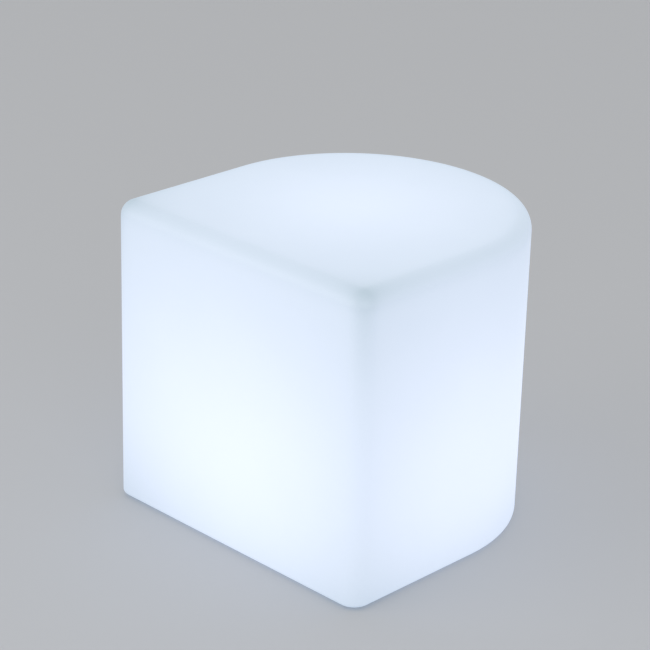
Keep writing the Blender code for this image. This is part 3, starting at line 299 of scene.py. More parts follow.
def turned(name, profile, steps=ROUND_STEPS, places=((0, 0),), closed=False):
    """Sweeps a profile round an upright axis at each place. Its points are reach, height and any corners."""
    return stacked(name, [[ring(at, steps, *point) for point in profile] for at in places], closed)


def block(name, low, high):
    """A box between two corners."""
    low, high = Vector(low), Vector(high)
    bm = bmesh.new()
    bmesh.ops.create_cube(bm, size=1)
    bmesh.ops.scale(bm, vec=high - low, verts=bm.verts)
    bmesh.ops.translate(bm, vec=(low + high) / 2, verts=bm.verts)
    made = show(name, bpy.data.meshes.new(name))
    bm.to_mesh(made.data)
    bm.free()
    return tidy(made)


def brick(name, size, at=(0.0, 0.0, 0.0)):
    """A box of a width, depth and height that stands on a place."""
    x, y, z = at
    wide, deep = size[0] / 2, size[1] / 2
    return block(name, (x - wide, y - deep, z), (x + wide, y + deep, z + size[2]))


print("a disc takes", ROUND_STEPS, "steps, a small part", SMALL_STEPS)

# %% [markdown]
# ## Edges of a profile
# No moulded or turned edge is quite sharp. Most profiles below repeat the same few bits: a rounded edge at
# the foot or the top, a groove, and a lower half that comes again upside down. Each is a short list of points,
# so that a profile reads as a sum of them.

# %% Bits of profiles
def bend(radius_at, height_at, radius, start, end, steps=5):
    """An arc of points between two angles in degrees."""
    turns = [math.radians(start + (end - start) * k / steps) for k in range(steps + 1)]
    return [(radius_at + radius * math.cos(turn), height_at + radius * math.sin(turn)) for turn in turns]


def lower_edge(radius, bottom, edge):
    return bend(radius - edge, bottom + edge, edge, -90, 0)


def upper_edge(radius, top, edge):
    return bend(radius - edge, top - edge, edge, 0, 90)


def groove(at, width, depth, slope, height=0.0):
    """A groove in a lower face."""
    inner, outer = at - width / 2, at + width / 2
    return [(inner, height), (inner + slope, height + depth), (outer - slope, height + depth), (outer, height)]


def mirrored(half, bottom, top):
    """A profile that looks the same from below and from above, from its lower half."""
    return [(r, bottom + z) for r, z in half] + [(r, top - z) for r, z in reversed(half)]


def disc_profile(radius, bottom, top, rim):
    """A flat disc with a narrow chamfer on each edge."""
    return mirrored([(radius - rim, 0.0), (radius, rim)], bottom, top)


def crowned(radius, low, rise, steps=6):
    """A face that rises slightly from its middle to its rim."""
    return [(radius * k / steps, low + rise * (k / steps) ** 2) for k in range(1, steps + 1)]


print("a rounded edge has", len(lower_edge(1.0, 0.0, 0.1)), "points")

# %% [markdown]
# ## Cuts, roundings and places
# Holes and pockets are cut with exact Booleans, which are read at once. A narrow bevel with hardened normals
# then gives each machined edge the thin highlight that a real edge has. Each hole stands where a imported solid
# does, so the places are read from the solids and not typed.

# %% Cutting, rounding and placing
OVERRUN = 0.002  # how far a cutter reaches past what it cuts
TOUCH_GAP = 0.0003  # between parts that lie on each other


def combine(target, others, operation="DIFFERENCE"):
    """Cuts the other solids away, or joins them on, and removes them."""
    for other in others:
        modify(target, "BOOLEAN", operation=operation, object=other)
    plain(target)
    for other in others:
        bpy.data.objects.remove(other)
    return tidy(target)


def soften(made, width, segments=2):
    """Rounds the sharp edges, and welds the slivers that this leaves."""
    modify(made, "BEVEL", width=width, segments=segments, limit_method="ANGLE", angle_limit=SHARP,
           harden_normals=True)
    modify(made, "WELD", merge_threshold=WELD)
    return plain(made)


def family(stem):
    """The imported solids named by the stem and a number, in order, or the one that has the stem as its name."""
    return sorted(name for name in frame["nodes"] if name.rstrip("0123456789") == stem)


def spots(stem, height=0.0):
    """The middle of each solid of a family as seen from above, at a height."""
    boxes = [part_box(name) for name in family(stem)]
    return [Vector(((low[0] + high[0]) / 2, (low[1] + high[1]) / 2, height)) for low, high in boxes]


def gauge(node):
    """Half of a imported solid's width, which is a round one's radius, and its lowest and highest point."""
    low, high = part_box(node)
    return (high[0] - low[0]) / 2, low[2], high[2]


def bars(stem, radius, bottom, top, steps=SMALL_STEPS):
    """Upright round bars between two heights, one at each solid of a family."""
    return turned(stem + "bars", [(radius, bottom), (radius, top)], steps, spots(stem))


def drilled(made, stem, radius, others=()):
    """Cuts round holes right through, one at each solid of a family, and any other cutters."""
    heights = [vertex.co.z for vertex in made.data.vertices]
    through = bars(stem, radius, min(heights) - OVERRUN, max(heights) + OVERRUN)
    return combine(made, [through, *others])


print("screws under the plate:", len(family("plate_screw_")))

# %% [markdown]
# ## Finishes
# Every finish starts from one Principled shader. What is the same all over a surface is set on the shader's
# own sockets, and only what varies is wired. All patterns read Object coordinates, which here are metres in
# the stool's own frame, so a grain of half a millimetre is written as such.

# %% The start of a finish
SLOTS = {}  # which of the record's material slots each finish is for


class Finish(Graph):
    """A material with one Principled shader."""

    def __init__(self, name, slot=None, **numbers):
        SLOTS[name] = slot
        self.material = bpy.data.materials.new(name)
        self.material.use_nodes = True
        super().__init__(self.material.node_tree)
        self.shader = self.tree.nodes["Principled BSDF"]
        self.place = self.add("ShaderNodeTexCoord", output="Object")
        self.feed(**numbers)

    def feed(self, **values):
        """Sets or wires the shader's sockets, which are named with _ for a space, and gives the material."""
        for label, value in values.items():
            self.plug(self.shader.inputs[label.replace("_", " ").title()], value)
        return self.material

    def split(self, vector):
        return [self.add("ShaderNodeSeparateXYZ", sockets={0: vector}, output=axis) for axis in "XYZ"]

    def noise(self, size, detail=2.0, place=None):
        """Soft spots of about the size in metres, from 0 to 1."""
        sockets = {"Vector": place or self.place, "Scale": 1 / size, "Detail": detail}
        return self.add("ShaderNodeTexNoise", sockets=sockets)

    def mix(self, factor, low, high):
        """From one colour at 0 to another at 1."""
        sockets = {"Factor": factor, "A": (*low, 1), "B": (*high, 1)}
        return self.add("ShaderNodeMix", {"data_type": "RGBA"}, sockets)

    def step(self, wire, low, high):
        """0 below the first level, 1 above the second, and eased between them."""
        sockets = {"Value": wire, "From Min": low, "From Max": high}
        return self.add("ShaderNodeMapRange", {"interpolation_type": "SMOOTHSTEP"}, sockets)

    def bump(self, height, distance):
        """A surface that rises by the distance in metres where the height is 1."""
        return self.add("ShaderNodeBump", sockets={"Height": height, "Distance": distance})


def between(low, high, wire):
    """From one number at 0 to another at 1."""
    return low + (high - low) * wire


def dress(made, material, *nodes, body="stool"):
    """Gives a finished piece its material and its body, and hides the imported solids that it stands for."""
    made.data.materials.clear()
    made.data.materials.append(material)
    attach(made, body)
    SLOTS[material.name]
    if nodes:
        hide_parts(*nodes)
    print(made.name, "has", len(made.data.polygons), "faces")
    return made


print("finishes start from one shader")

# %% [markdown]
# ## Studio
# The stool stands on a plain pale floor under soft light. A dim, even world fills the shadows, and two wide
# lamps model the faces a little. The light is kept at a plain level, so that the glow comes from the stool's
# own material and its pale faces don't clip to white.

# %% Floor and lamps
FLOOR_REACH = 14.0
FLOOR_DROP = 0.0002  # the floor's face lies just under the feet
FLOOR_COLOUR = (0.54, 0.55, 0.565)
FLOOR_ROUGHNESS = 0.9
WORLD_COLOUR = (0.97, 0.975, 0.985)
WORLD_STRENGTH = 0.78
# Name, place, size in metres and power in watts
LAMPS = (("key", (-1.2, -2.8, 1.3), 2.4, 16.5), ("fill", (2.4, -1.6, 1.4), 2.0, 11.5))


def make_lamp(name, place, size, power):
    lamp = show(name, bpy.data.lights.new(name, "AREA"))
    lamp.data.size = size
    lamp.data.energy = power
    lamp.location = place
    lamp.rotation_euler = (CAMERA_TARGET - Vector(place)).to_track_quat("-Z", "Y").to_euler()


floor = show("floor", bpy.data.meshes.new("floor"))
corners = [(x * FLOOR_REACH, y * FLOOR_REACH, -FLOOR_DROP) for x, y in ((-1, -1), (1, -1), (1, 1), (-1, 1))]
floor.data.from_pydata(corners, [], [(0, 1, 2, 3)])
paper = Finish("floor_paper", base_color=(*FLOOR_COLOUR, 1), roughness=FLOOR_ROUGHNESS)
floor.data.materials.append(paper.material)

world = bpy.data.worlds.new("studio")
bpy.context.scene.world = world
world.use_nodes = True
background = world.node_tree.nodes["Background"]
background.inputs["Color"].default_value = (*WORLD_COLOUR, 1)
background.inputs["Strength"].default_value = WORLD_STRENGTH

for row in LAMPS:
    make_lamp(*row)
print("floor, world and", len(LAMPS), "lamps")

# %% [markdown]
# ## Lit plastic
# The lamp stands low in the middle of the hollow block. Its light bounces about inside, so every wall glows,
# a little more where the lamp is near. Along each rounded edge the light has to cross more plastic, and less
# of it gets there, so the edges read as soft, cooler bands. Real light through real walls could be rendered,
# but it is slow and doesn't export. So the glow is written with a surface point's distances to the side wall,
# the front wall, the top and the base. Two of them are small near an edge, so their sum tells how near it is.

# %% Glowing shell finish
ARC_RADIUS = (cad_box[1][0] - cad_box[0][0]) / 2
FRONT_Y = cad_box[0][1]
ARC_CENTRE_Y = cad_box[1][1] - ARC_RADIUS
TOP_Z = cad_box[1][2]
BASE_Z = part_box("shell")[0][2]
WALL_SPOT_WIDTH = 0.396
WALL_SPOT_HEIGHT = 0.322
TOP_SPOT_REACH = 0.1708
TOP_FADE = 0.0040
CREASE_REACH = 0.0064
CORNER_REACH = 0.0195
CORNER_DROP = 0.0071
EDGE_REACH = 0.0065
EDGE_DROP = 0.0948
BASE_REACH = 0.232
# How far each effect moves the glow, which goes from the dim colour at -0.5 to the bright one at 0.5
WALL_SPOT, TOP_LEVEL, TOP_SPOT, BASE_SHADE = 1.0, -0.168, 0.214, -0.841
SIDE_CREASE, FRONT_CREASE, CORNER, EDGE = -1.027, -0.898, -0.948, -1.394
DIM_GLOW = (0.0396, 0.1279, 0.1829)
BRIGHT_GLOW = (0.5935, 0.6530, 0.8119)
SHELL_COLOUR = (0.45, 0.472, 0.495)
SHELL_ROUGHNESS = (0.38, 0.46)
PALER = 1.02
MOULD_GRAIN = 0.0009
MOULD_GRAIN_DEPTH = 0.00003
WALL_WAVE = 0.09
WALL_WAVE_DEPTH = 0.0004
WAVE_IN_GLOW = 0.03


def make_lit_plastic():
    finish = Finish("lit_plastic", "shell_plastic", emission_strength=1.0)
    x, y, z = finish.split(finish.place)
    beyond = finish.maths("MAXIMUM", y - ARC_CENTRE_Y, 0.0)
    side = ARC_RADIUS - (x * x + beyond * beyond) ** 0.5
    front, top, base = y - FRONT_Y, TOP_Z - z, z - BASE_Z

    def fading(amount):
        """1 where the amount is zero, and fading as it grows."""
        return finish.maths("EXPONENT", -amount)

    from_axis = x * x + y * y
    outside = finish.maths("MAXIMUM", from_axis - FRONT_Y**2, 0.0)
    rise = base / WALL_SPOT_HEIGHT
    walls = WALL_SPOT * fading(outside / WALL_SPOT_WIDTH**2 + rise * rise)
    walls = walls + BASE_SHADE * fading(base / BASE_REACH)
    lid = fading(top / TOP_FADE) * (TOP_LEVEL + TOP_SPOT * fading(from_axis / TOP_SPOT_REACH**2))
    creases = SIDE_CREASE * fading((side + top) / CREASE_REACH)
    creases = creases + FRONT_CREASE * fading((front + top) / CREASE_REACH)
    corner = fading((side + front) / CORNER_REACH + top / CORNER_DROP)
    edge = fading((side + front) / EDGE_REACH + top / EDGE_DROP)
    glow = walls + lid + creases + CORNER * corner + EDGE * edge

    wave = finish.noise(WALL_WAVE)
    grain = finish.noise(MOULD_GRAIN, detail=3.0)
    glow = glow + 0.5 + (wave - 0.5) * WAVE_IN_GLOW
    return finish.feed(
        emission_color=finish.mix(glow, DIM_GLOW, BRIGHT_GLOW),
        base_color=finish.mix(wave, SHELL_COLOUR, [PALER * part for part in SHELL_COLOUR]),
        roughness=between(*SHELL_ROUGHNESS, grain),
        normal=finish.bump(grain * (MOULD_GRAIN_DEPTH / WALL_WAVE_DEPTH) + wave, WALL_WAVE_DEPTH),
    )


lit_plastic = make_lit_plastic()
print("lit plastic has", len(lit_plastic.node_tree.nodes), "nodes")

# %% [markdown]
# ## Shell: one edge profile swept round the D
# The block is one shape by a rule: an upright section with a rounded top and base edge runs round a D. A
# rectangle becomes the D when its two rear corners are filleted by half the width. Geometry Nodes do that,
# sweep the section along it and close the flat ends. Cooked a second time, smaller by the wall, the same
# recipe makes the hollow inside.

# %% Rounded D block recipe
BLOCK_SIZES = ("width", "depth", "base", "top", "corner_radius", "top_radius", "base_radius")
OUTLINE_POINTS = 360
FILLET_POINTS = 64
EDGE_POINTS = 13
WALL_ROWS = 14
FLAT_RIM = 0.0015  # a narrow flat ring keeps the shading of the big flats even


def make_block_recipe():
    recipe = Recipe("rounded_d_block", **dict.fromkeys(BLOCK_SIZES, "Float"))
    add = recipe.add
    width, depth, base, top, corner_radius, top_radius, base_radius = (recipe[size] for size in BLOCK_SIZES)

    def point(x=0.0, y=0.0, z=0.0):
        return add("ShaderNodeCombineXYZ", sockets={"X": x, "Y": y, "Z": z})

    sheet = add("GeometryNodeCurvePrimitiveQuadrilateral", sockets={"Width": width, "Height": depth})
    here = add("GeometryNodeInputPosition")
    rear = add("ShaderNodeSeparateXYZ", sockets={0: here}, output="Y")
    rear = add("FunctionNodeCompare", {"operation": "GREATER_THAN"}, {"A": rear, "B": 0.0})
    radii = {"Switch": rear, "False": corner_radius, "True": width / 2}
    radius = add("GeometryNodeSwitch", {"input_type": "FLOAT"}, radii)
    fillet = {"Curve": sheet, "Count": FILLET_POINTS, "Radius": radius, "Limit Radius": True}
    outline = add("GeometryNodeFilletCurve", {"mode": "POLY"}, fillet)
    outline = add("GeometryNodeResampleCurve", sockets={"Curve": outline, "Count": OUTLINE_POINTS})
    outline = add("GeometryNodeSetCurveNormal", {"mode": "Z_UP"}, {"Curve": outline})

    def rounding(radius, at, flip):
        arc = {"Resolution": EDGE_POINTS, "Radius": radius, "Start Angle": 0.0, "Sweep Angle": math.pi / 2}
        arc = add("GeometryNodeCurveArc", {"mode": "RADIUS"}, arc)
        return add("GeometryNodeTransform", sockets={"Geometry": arc, "Translation": at, "Scale": (1, flip, 1)})

    def line(start, end, points):
        straight = add("GeometryNodeCurvePrimitiveLine", sockets={"Start": start, "End": end})
        return add("GeometryNodeResampleCurve", sockets={"Curve": straight, "Count": points})

    # In the section, X points out of the block and Y points down.
    section = [
        line(point(-top_radius - FLAT_RIM, -top), point(-top_radius, -top), 2),
        rounding(top_radius, point(-top_radius, top_radius - top), -1),
        line(point(0.0, top_radius - top), point(0.0, -base_radius - base), WALL_ROWS),
        rounding(base_radius, point(-base_radius, -base_radius - base), 1),
        line(point(-base_radius, -base), point(-base_radius - FLAT_RIM, -base), 2),
    ]
    section = add("GeometryNodeJoinGeometry", sockets={"Geometry": section})
    skin = add("GeometryNodeCurveToMesh", sockets={"Curve": outline, "Profile Curve": section})
    skin = add("GeometryNodeMergeByDistance", sockets={"Geometry": skin, "Distance": 5 * WELD})
    faces = add("GeometryNodeInputMeshEdgeNeighbors")
    rim = add("FunctionNodeCompare", {"data_type": "INT", "operation": "EQUAL"}, {"A": faces, "B": 1})
    lids = {"Mesh": skin, "Selection": rim, "Offset Scale": 0.0}
    closed = add("GeometryNodeExtrudeMesh", {"mode": "EDGES"}, lids)
    ends = Wire(recipe, closed.socket.node.outputs["Top"])
    height = add("ShaderNodeSeparateXYZ", sockets={0: here}, output="Z")
    lids = {"Geometry": closed, "Selection": ends, "Position": point(0.0, 0.0, height)}
    closed = add("GeometryNodeSetPosition", sockets=lids)
    welded = {"Geometry": closed, "Distance": 5 * WELD}
    return recipe.serve(add("GeometryNodeMergeByDistance", sockets=welded))


block_recipe = make_block_recipe()

# %% [markdown]
# ## Pocket, foot seats and the hollow inside
# The real shell is rotomoulded: powder melts in a turning mould and covers it with one even wall, so the
# pocket for the lamp and the seats for the feet have walls of their own inside. The same cuts are made here:
# their walls are first taken from the hollow, and then the hollow and the pockets are cut from the block.

# %% Shell
SHELL_WALL = 0.0045
TOP_EDGE_RADIUS = 0.020
CORNER_RADIUS = 0.022
BASE_EDGE_RADIUS = 0.005
POCKET_MOUTH_RADIUS = 0.0878
POCKET_RADIUS = 0.0848
POCKET_LIP = 0.0025
SHELF_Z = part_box("thread_insert_1")[0][2]
LAMP_HOLE_RADIUS = 0.0643
INSERT_HOLE_RADIUS = 0.0035
INSERT_HOLE_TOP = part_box("thread_insert_1")[1][2] + TOUCH_GAP
BOSS_RADIUS = 0.0065
FOOT_SEAT_RADIUS = 0.0165
FOOT_SEAT_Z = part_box("foot_1")[1][2] + TOUCH_GAP
VENT_HOLE_RADIUS = 0.0039


def d_block(name, wall):
    """The block, made smaller by a wall on every side."""
    return tidy(block_recipe.cook(
        name,
        width=2 * (ARC_RADIUS - wall),
        depth=cad_box[1][1] - FRONT_Y - 2 * wall,
        base=BASE_Z + wall,
        top=TOP_Z - wall,
        corner_radius=CORNER_RADIUS - wall,
        top_radius=TOP_EDGE_RADIUS - wall,
        base_radius=BASE_EDGE_RADIUS - wall,
        material=lit_plastic,
    ))


shell, hollow = d_block("seat_shell", 0.0), d_block("hollow", SHELL_WALL)
below, shelf_top = BASE_Z - OVERRUN, SHELF_Z + SHELL_WALL
pocket_wall = [(POCKET_MOUTH_RADIUS + SHELL_WALL, below), (POCKET_RADIUS + SHELL_WALL, shelf_top)]
combine(hollow, [
    turned("pocket_wall", pocket_wall),
    bars("foot_", FOOT_SEAT_RADIUS + SHELL_WALL, below, FOOT_SEAT_Z + SHELL_WALL),
    bars("thread_insert_", BOSS_RADIUS, SHELF_Z, INSERT_HOLE_TOP + OVERRUN),
])
mouth = bend(POCKET_MOUTH_RADIUS + POCKET_LIP, BASE_Z + POCKET_LIP, POCKET_LIP, 270, 180, 6)
lamp_hole = [(LAMP_HOLE_RADIUS, SHELF_Z - OVERRUN), (LAMP_HOLE_RADIUS, shelf_top + OVERRUN)]
combine(shell, [
    hollow,
    turned("pocket", [(mouth[0][0], below)] + mouth + [(POCKET_RADIUS, SHELF_Z)]),
    bars("foot_", FOOT_SEAT_RADIUS, below, FOOT_SEAT_Z),
    turned("lamp_hole", lamp_hole),
    bars("thread_insert_", INSERT_HOLE_RADIUS, SHELF_Z - OVERRUN, INSERT_HOLE_TOP),
    bars("vent_plug", VENT_HOLE_RADIUS, below, BASE_Z + SHELL_WALL + OVERRUN),
])
dress(shell, lit_plastic, "shell")

# %% [markdown]
# ## Everyday finishes
# The rest of the stool is injection-moulded plastic, rubber, silicone, metal and circuit board. Each of them
# has a fine grain in its roughness and its bump, and a broader drift in its colour, at the scale of the real
# material. One function makes them from a few numbers, and the ones that need a pattern are made further down.

# %% Plain finishes
DRIFT_SIZE = 16  # how many grains wide a drift in tone is


def grained(name, slot, colour, roughness, metallic=0.0, grain=0.0006, depth=0.00001, drift=0.08, spread=0.08):
    """A finish with fine grain of the size and depth in metres, and a broad drift in its tone."""
    finish = Finish(name, slot, metallic=metallic)
    fine = finish.noise(grain, detail=3.0)
    darker = [part * (1 - drift) for part in colour]
    lighter = [min(part * (1 + drift), 1.0) for part in colour]
    return finish.feed(
        base_color=finish.mix(finish.noise(grain * DRIFT_SIZE), darker, lighter),
        roughness=(roughness - spread / 2) + spread * fine,
        normal=finish.bump(fine, depth),
    )


lamp_plastic = grained("moulded_abs", "lamp_plastic", (0.78, 0.78, 0.76), 0.48,
                       grain=0.0004, depth=0.000012, drift=0.02)
silicone = grained("soft_silicone", "silicone", (0.52, 0.54, 0.55), 0.62,
                   grain=0.0008, depth=0.000008, drift=0.04)
foot_rubber = grained("ribbed_rubber", "foot_rubber", (0.030, 0.030, 0.032), 0.82,
                      grain=0.0005, depth=0.00003, drift=0.25)
black_plastic = grained("black_nylon", "black_plastic", (0.020, 0.020, 0.022), 0.48, grain=0.0004, drift=0.15)
screw_steel = grained("stainless_steel", "screw_steel", (0.60, 0.60, 0.62), 0.30, 1.0,
                      grain=0.0003, depth=0.000003, spread=0.14)
brass = grained("turned_brass", "brass", (0.73, 0.54, 0.24), 0.34, 1.0,
                grain=0.0003, depth=0.000004, spread=0.12)
nickel = grained("nickel_plate", "nickel", (0.70, 0.68, 0.64), 0.30, 1.0,
                 grain=0.0003, depth=0.000003, spread=0.12)
aluminium = grained("sheet_aluminium", "aluminium", (0.76, 0.77, 0.78), 0.40, 1.0,
                    grain=0.0005, depth=0.000005, spread=0.14)
frosted_plastic = grained("opal_plastic", "frosted_plastic", (0.82, 0.86, 0.90), 0.52,
                          grain=0.0003, depth=0.000008, drift=0.02)
smoked_plastic = grained("smoked_window", "smoked_plastic", (0.045, 0.010, 0.014), 0.14,
                         grain=0.002, depth=0.000002, drift=0.1)
red_lead = grained("red_insulation", "red_lead", (0.55, 0.030, 0.020), 0.48, drift=0.06)
black_lead = grained("black_insulation", "black_lead", (0.028, 0.028, 0.030), 0.48, drift=0.15)
grey_lead = grained("grey_sheath", "grey_lead", (0.42, 0.42, 0.43), 0.50, drift=0.05)
mark_ink = grained("mark_ink", "black_plastic", (0.16, 0.20, 0.26), 0.55, grain=0.0002, drift=0.1)
print("finishes so far:", len(SLOTS))

# %% [markdown]
# ## Repeating at places
# Screws, feet, inserts and light emitters are one shape set at many places. The recipe reads its places from
# the loose points that it is cooked on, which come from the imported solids. It turns each copy by a random
# angle from a fixed seed, as screws end up when they are driven in, or faces it outwards from the lamp's axis.

# %% Repeat recipe
def repeat(name, piece, places, material, *nodes, random_turn=0.0, outwards=0.0, seed=1):
    """A copy of the piece at each place, as one finished mesh. The piece itself goes."""
    turning = {"random_turn": random_turn, "outwards": outwards, "seed": seed}
    made = repeat_recipe.cook(name, places, piece=piece, material=material, **turning)
    bpy.data.objects.remove(piece)
    return dress(made, material, *nodes)


recipe = Recipe("repeat_at_places", piece="Object", random_turn="Float", outwards="Float", seed="Int")
source = recipe.add("GeometryNodeObjectInfo", sockets={"Object": recipe["piece"]}, output="Geometry")
here = recipe.add("GeometryNodeInputPosition")
x, y = (recipe.add("ShaderNodeSeparateXYZ", sockets={0: here}, output=axis) for axis in "XY")
chance = {"Min": 0.0, "Max": recipe["random_turn"], "Seed": recipe["seed"]}
turn = recipe.add("FunctionNodeRandomValue", {"data_type": "FLOAT"}, chance)
turn = turn + recipe.maths("ARCTAN2", y, x) * recipe["outwards"]
rotation = recipe.add("ShaderNodeCombineXYZ", sockets={"Z": turn})
copies = {"Points": recipe["places"], "Instance": source, "Rotation": rotation}
repeat_recipe = recipe.serve(recipe.add("GeometryNodeInstanceOnPoints", sockets=copies))

# %% [markdown]
# ## Feet
# Four soft rubber feet keep the stool from sliding and lift its base off a wet floor. Each is moulded with
# rings in its sole, which grip better than a flat face, and a recess for its screw. The profile is turned once.

# %% Rubber feet
FOOT_RECESS_RADIUS = 0.0044
FOOT_RECESS_Z = 0.0039
FOOT_BORE_RADIUS = 0.0022
FOOT_EDGE_RADIUS = 0.0010
SOLE_GROOVES = (0.0070, 0.0100, 0.0130)
SOLE_GROOVE_WIDTH = 0.0010
SOLE_GROOVE_DEPTH = 0.0007

radius, _, top = gauge("foot_1")
profile = [(FOOT_RECESS_RADIUS, 0.0)]
for at in SOLE_GROOVES:
    profile += groove(at, SOLE_GROOVE_WIDTH, SOLE_GROOVE_DEPTH, SOLE_GROOVE_DEPTH / 4)
profile += lower_edge(radius, 0.0, FOOT_EDGE_RADIUS) + [(radius, top), (FOOT_BORE_RADIUS, top)]
profile += [(FOOT_BORE_RADIUS, FOOT_RECESS_Z), (FOOT_RECESS_RADIUS, FOOT_RECESS_Z)]
foot = turned("foot", profile, MEDIUM_STEPS, closed=True)
repeat("rubber_feet", foot, spots("foot_"), foot_rubber, *family("foot_"))

# %% [markdown]
# ## Screws
# All screws have a hexagon socket. The larger ones hold the feet and the base plate from below, the smaller
# ones hold the parts inside the lamp and point down. Each is a turned profile that starts with two hexagons,
# the walls of the socket, and goes on with circles outside and fine ridges for the thread. Real threads are
# spirals, but rings look the same at this size and close on themselves. Geometry Nodes set the copies.

# %% Screws
SCREW_STEPS = 36
THREAD_PITCH = 0.0007
THREAD_DEPTH = 0.00018
THREAD_TIP_SHARE = 0.55
SOCKET_DEPTH_SHARE = 0.55
SOCKET_RIM_SHARE = 0.62
HEAD_CHAMFER_SHARE = 0.22
CHAMFER_ROUND_SHARE = 0.3
LARGE = {"head_radius": 0.0038, "head_height": 0.0026, "shank_radius": 0.0019, "socket": 0.0026}
SMALL = {"head_radius": 0.0025, "head_height": 0.0016, "shank_radius": 0.0011, "socket": 0.0017}
# Whose places, which size, whether the head is on top, and the seed of the random turns
SCREWS = (
    ("plate_screw_", LARGE, False, 3),
    ("foot_screw_", LARGE, False, 5),
    ("light_board_screw_", SMALL, True, 7),
    ("dome_screw_", SMALL, True, 11),
    ("board_screw_", SMALL, True, 13),
    ("holder_screw_", SMALL, True, 17),
)


def screw_profile(length, head_radius, head_height, shank_radius, socket):
    """A screw whose head hangs below the origin and whose shank rises from it."""
    chamfer = head_height * HEAD_CHAMFER_SHARE
    corner = chamfer * CHAMFER_ROUND_SHARE
    profile = [(socket / 2, head_height * (SOCKET_DEPTH_SHARE - 1), 6), (socket / 2, -head_height, 6)]
    profile += [(socket * SOCKET_RIM_SHARE, -head_height), (head_radius - chamfer, -head_height)]
    profile += [(head_radius - corner, corner - head_height), (head_radius, chamfer - head_height)]
    profile += [(head_radius, 0.0), (shank_radius, 0.0)]
    height = THREAD_PITCH
    while height < length - 2 * THREAD_PITCH:
        profile += [(shank_radius, height), (shank_radius - THREAD_DEPTH, height + THREAD_PITCH / 2)]
        height += THREAD_PITCH
    return profile + [(shank_radius, length - 1.5 * THREAD_PITCH), (shank_radius * THREAD_TIP_SHARE, length)]


def drive(stem, size, head_on_top, seed):
    """Sets a screw on every packed screw of a family, all of one length."""
    _, bottom, top = gauge(stem + "1")
    head = size["head_height"]
    screw = turned("screw", screw_profile(top - bottom - head, **size), SCREW_STEPS)
    if head_on_top:
        screw.data.transform(Matrix.Rotation(math.pi, 4, "X"))
    places = spots(stem, top - head if head_on_top else bottom + head)
    repeat(stem[:-1] + "s", screw, places, screw_steel, *family(stem), random_turn=math.tau, seed=seed)


for row in SCREWS:
    drive(*row)

# %% [markdown]
# ## Base plate
# The round plate closes the lamp from below and carries the boards and the battery on posts. It is moulded
# plastic, so it is a turned disc with posts joined on, then drilled. A shallow groove runs round inside the
# screws, and a raised ring guards the button. Every height is read from the pieces that the plate carries.

# %% Base plate
BEZEL_HEIGHT = 0.0008
BEZEL_RADIUS = 0.0086
PLATE_THICKNESS = 0.0035
PLATE_CHAMFER = 0.0010
PLATE_GROOVE = (0.0640, 0.0014, 0.0006, 0.0002)  # radius, width, depth and slope
PLATE_EDGE = 0.00022
PLATE_RADIUS, PLATE_Z, _ = gauge("base_plate")
PLATE_Z += BEZEL_HEIGHT
PLATE_TOP_Z = PLATE_Z + PLATE_THICKNESS
BOARD_POST_RADIUS = 0.0030
HOLDER_POST_RADIUS = 0.0035
COLLAR_RADIUS = 0.0068
PILOT_RADIUS = 0.0014
PILOT_DEPTH = 0.0063
FLANGE_HOLE_RADIUS = 0.0025
PORT_RADIUS = 0.0050
BUTTON_HOLE_RADIUS = 0.0064
INDICATOR_HOLE_RADIUS = 0.0018
SENSOR_HOLE_RADIUS = 0.0038
ANCHOR_HOLE_RADIUS = 0.0017

profile = groove(*PLATE_GROOVE, PLATE_Z)
profile += [(PLATE_RADIUS - PLATE_CHAMFER, PLATE_Z), (PLATE_RADIUS, PLATE_Z + PLATE_CHAMFER)]
plate = turned("moulded_plate", profile + [(PLATE_RADIUS, PLATE_TOP_Z)], DISC_STEPS)
root, below, above = PLATE_Z + PLATE_THICKNESS / 2, PLATE_Z - OVERRUN, PLATE_TOP_Z + OVERRUN
carried = ("control_board", "battery_holder", "charge_jack")
board_z, holder_z, collar_z = (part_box(node)[0][2] - TOUCH_GAP for node in carried)
combine(plate, [
    bars("board_screw_", BOARD_POST_RADIUS, root, board_z),
    bars("holder_screw_", HOLDER_POST_RADIUS, root, holder_z),
    bars("charge_jack", COLLAR_RADIUS, root, collar_z),
    bars("power_button", BEZEL_RADIUS, PLATE_Z - BEZEL_HEIGHT, root, MEDIUM_STEPS),
], "UNION")
combine(plate, [
    bars("board_screw_", PILOT_RADIUS, board_z - PILOT_DEPTH, board_z + OVERRUN),
    bars("holder_screw_", PILOT_RADIUS, holder_z - PILOT_DEPTH, holder_z + OVERRUN),
    bars("plate_screw_", FLANGE_HOLE_RADIUS, below, above),
    bars("charge_jack", PORT_RADIUS, below, collar_z + OVERRUN),
    bars("power_button", BUTTON_HOLE_RADIUS, below, above, MEDIUM_STEPS),
    bars("indicator_lens", INDICATOR_HOLE_RADIUS, below, above),
    bars("sensor_window", SENSOR_HOLE_RADIUS, below, above),
    bars("cap_anchor", ANCHOR_HOLE_RADIUS, below, above),
])
dress(soften(plate, PLATE_EDGE), lamp_plastic, "base_plate")

# %% [markdown]
# ## Wires along a path
# The button's spring, the sign on its face and the leads inside the lamp are all a round section that follows
# a line of points. The points could be a curve object with a bevel, but a recipe gives a plain mesh at once,
# with its ends closed, and the number of sides is an input.

# %% Wire recipe
WIRE_SIDES = 10


def wire(name, paths, radius, material, *nodes, sides=WIRE_SIDES, body="stool"):
    """A finished round wire along each path of points."""
    points, joined = [], []
    for path in paths:
        joined += [(k, k + 1) for k in range(len(points), len(points) + len(path) - 1)]
        points += path
    made = wire_recipe.cook(name, points, joined, radius=radius, sides=sides, material=material)
    return dress(tidy(made), material, *nodes, body=body)


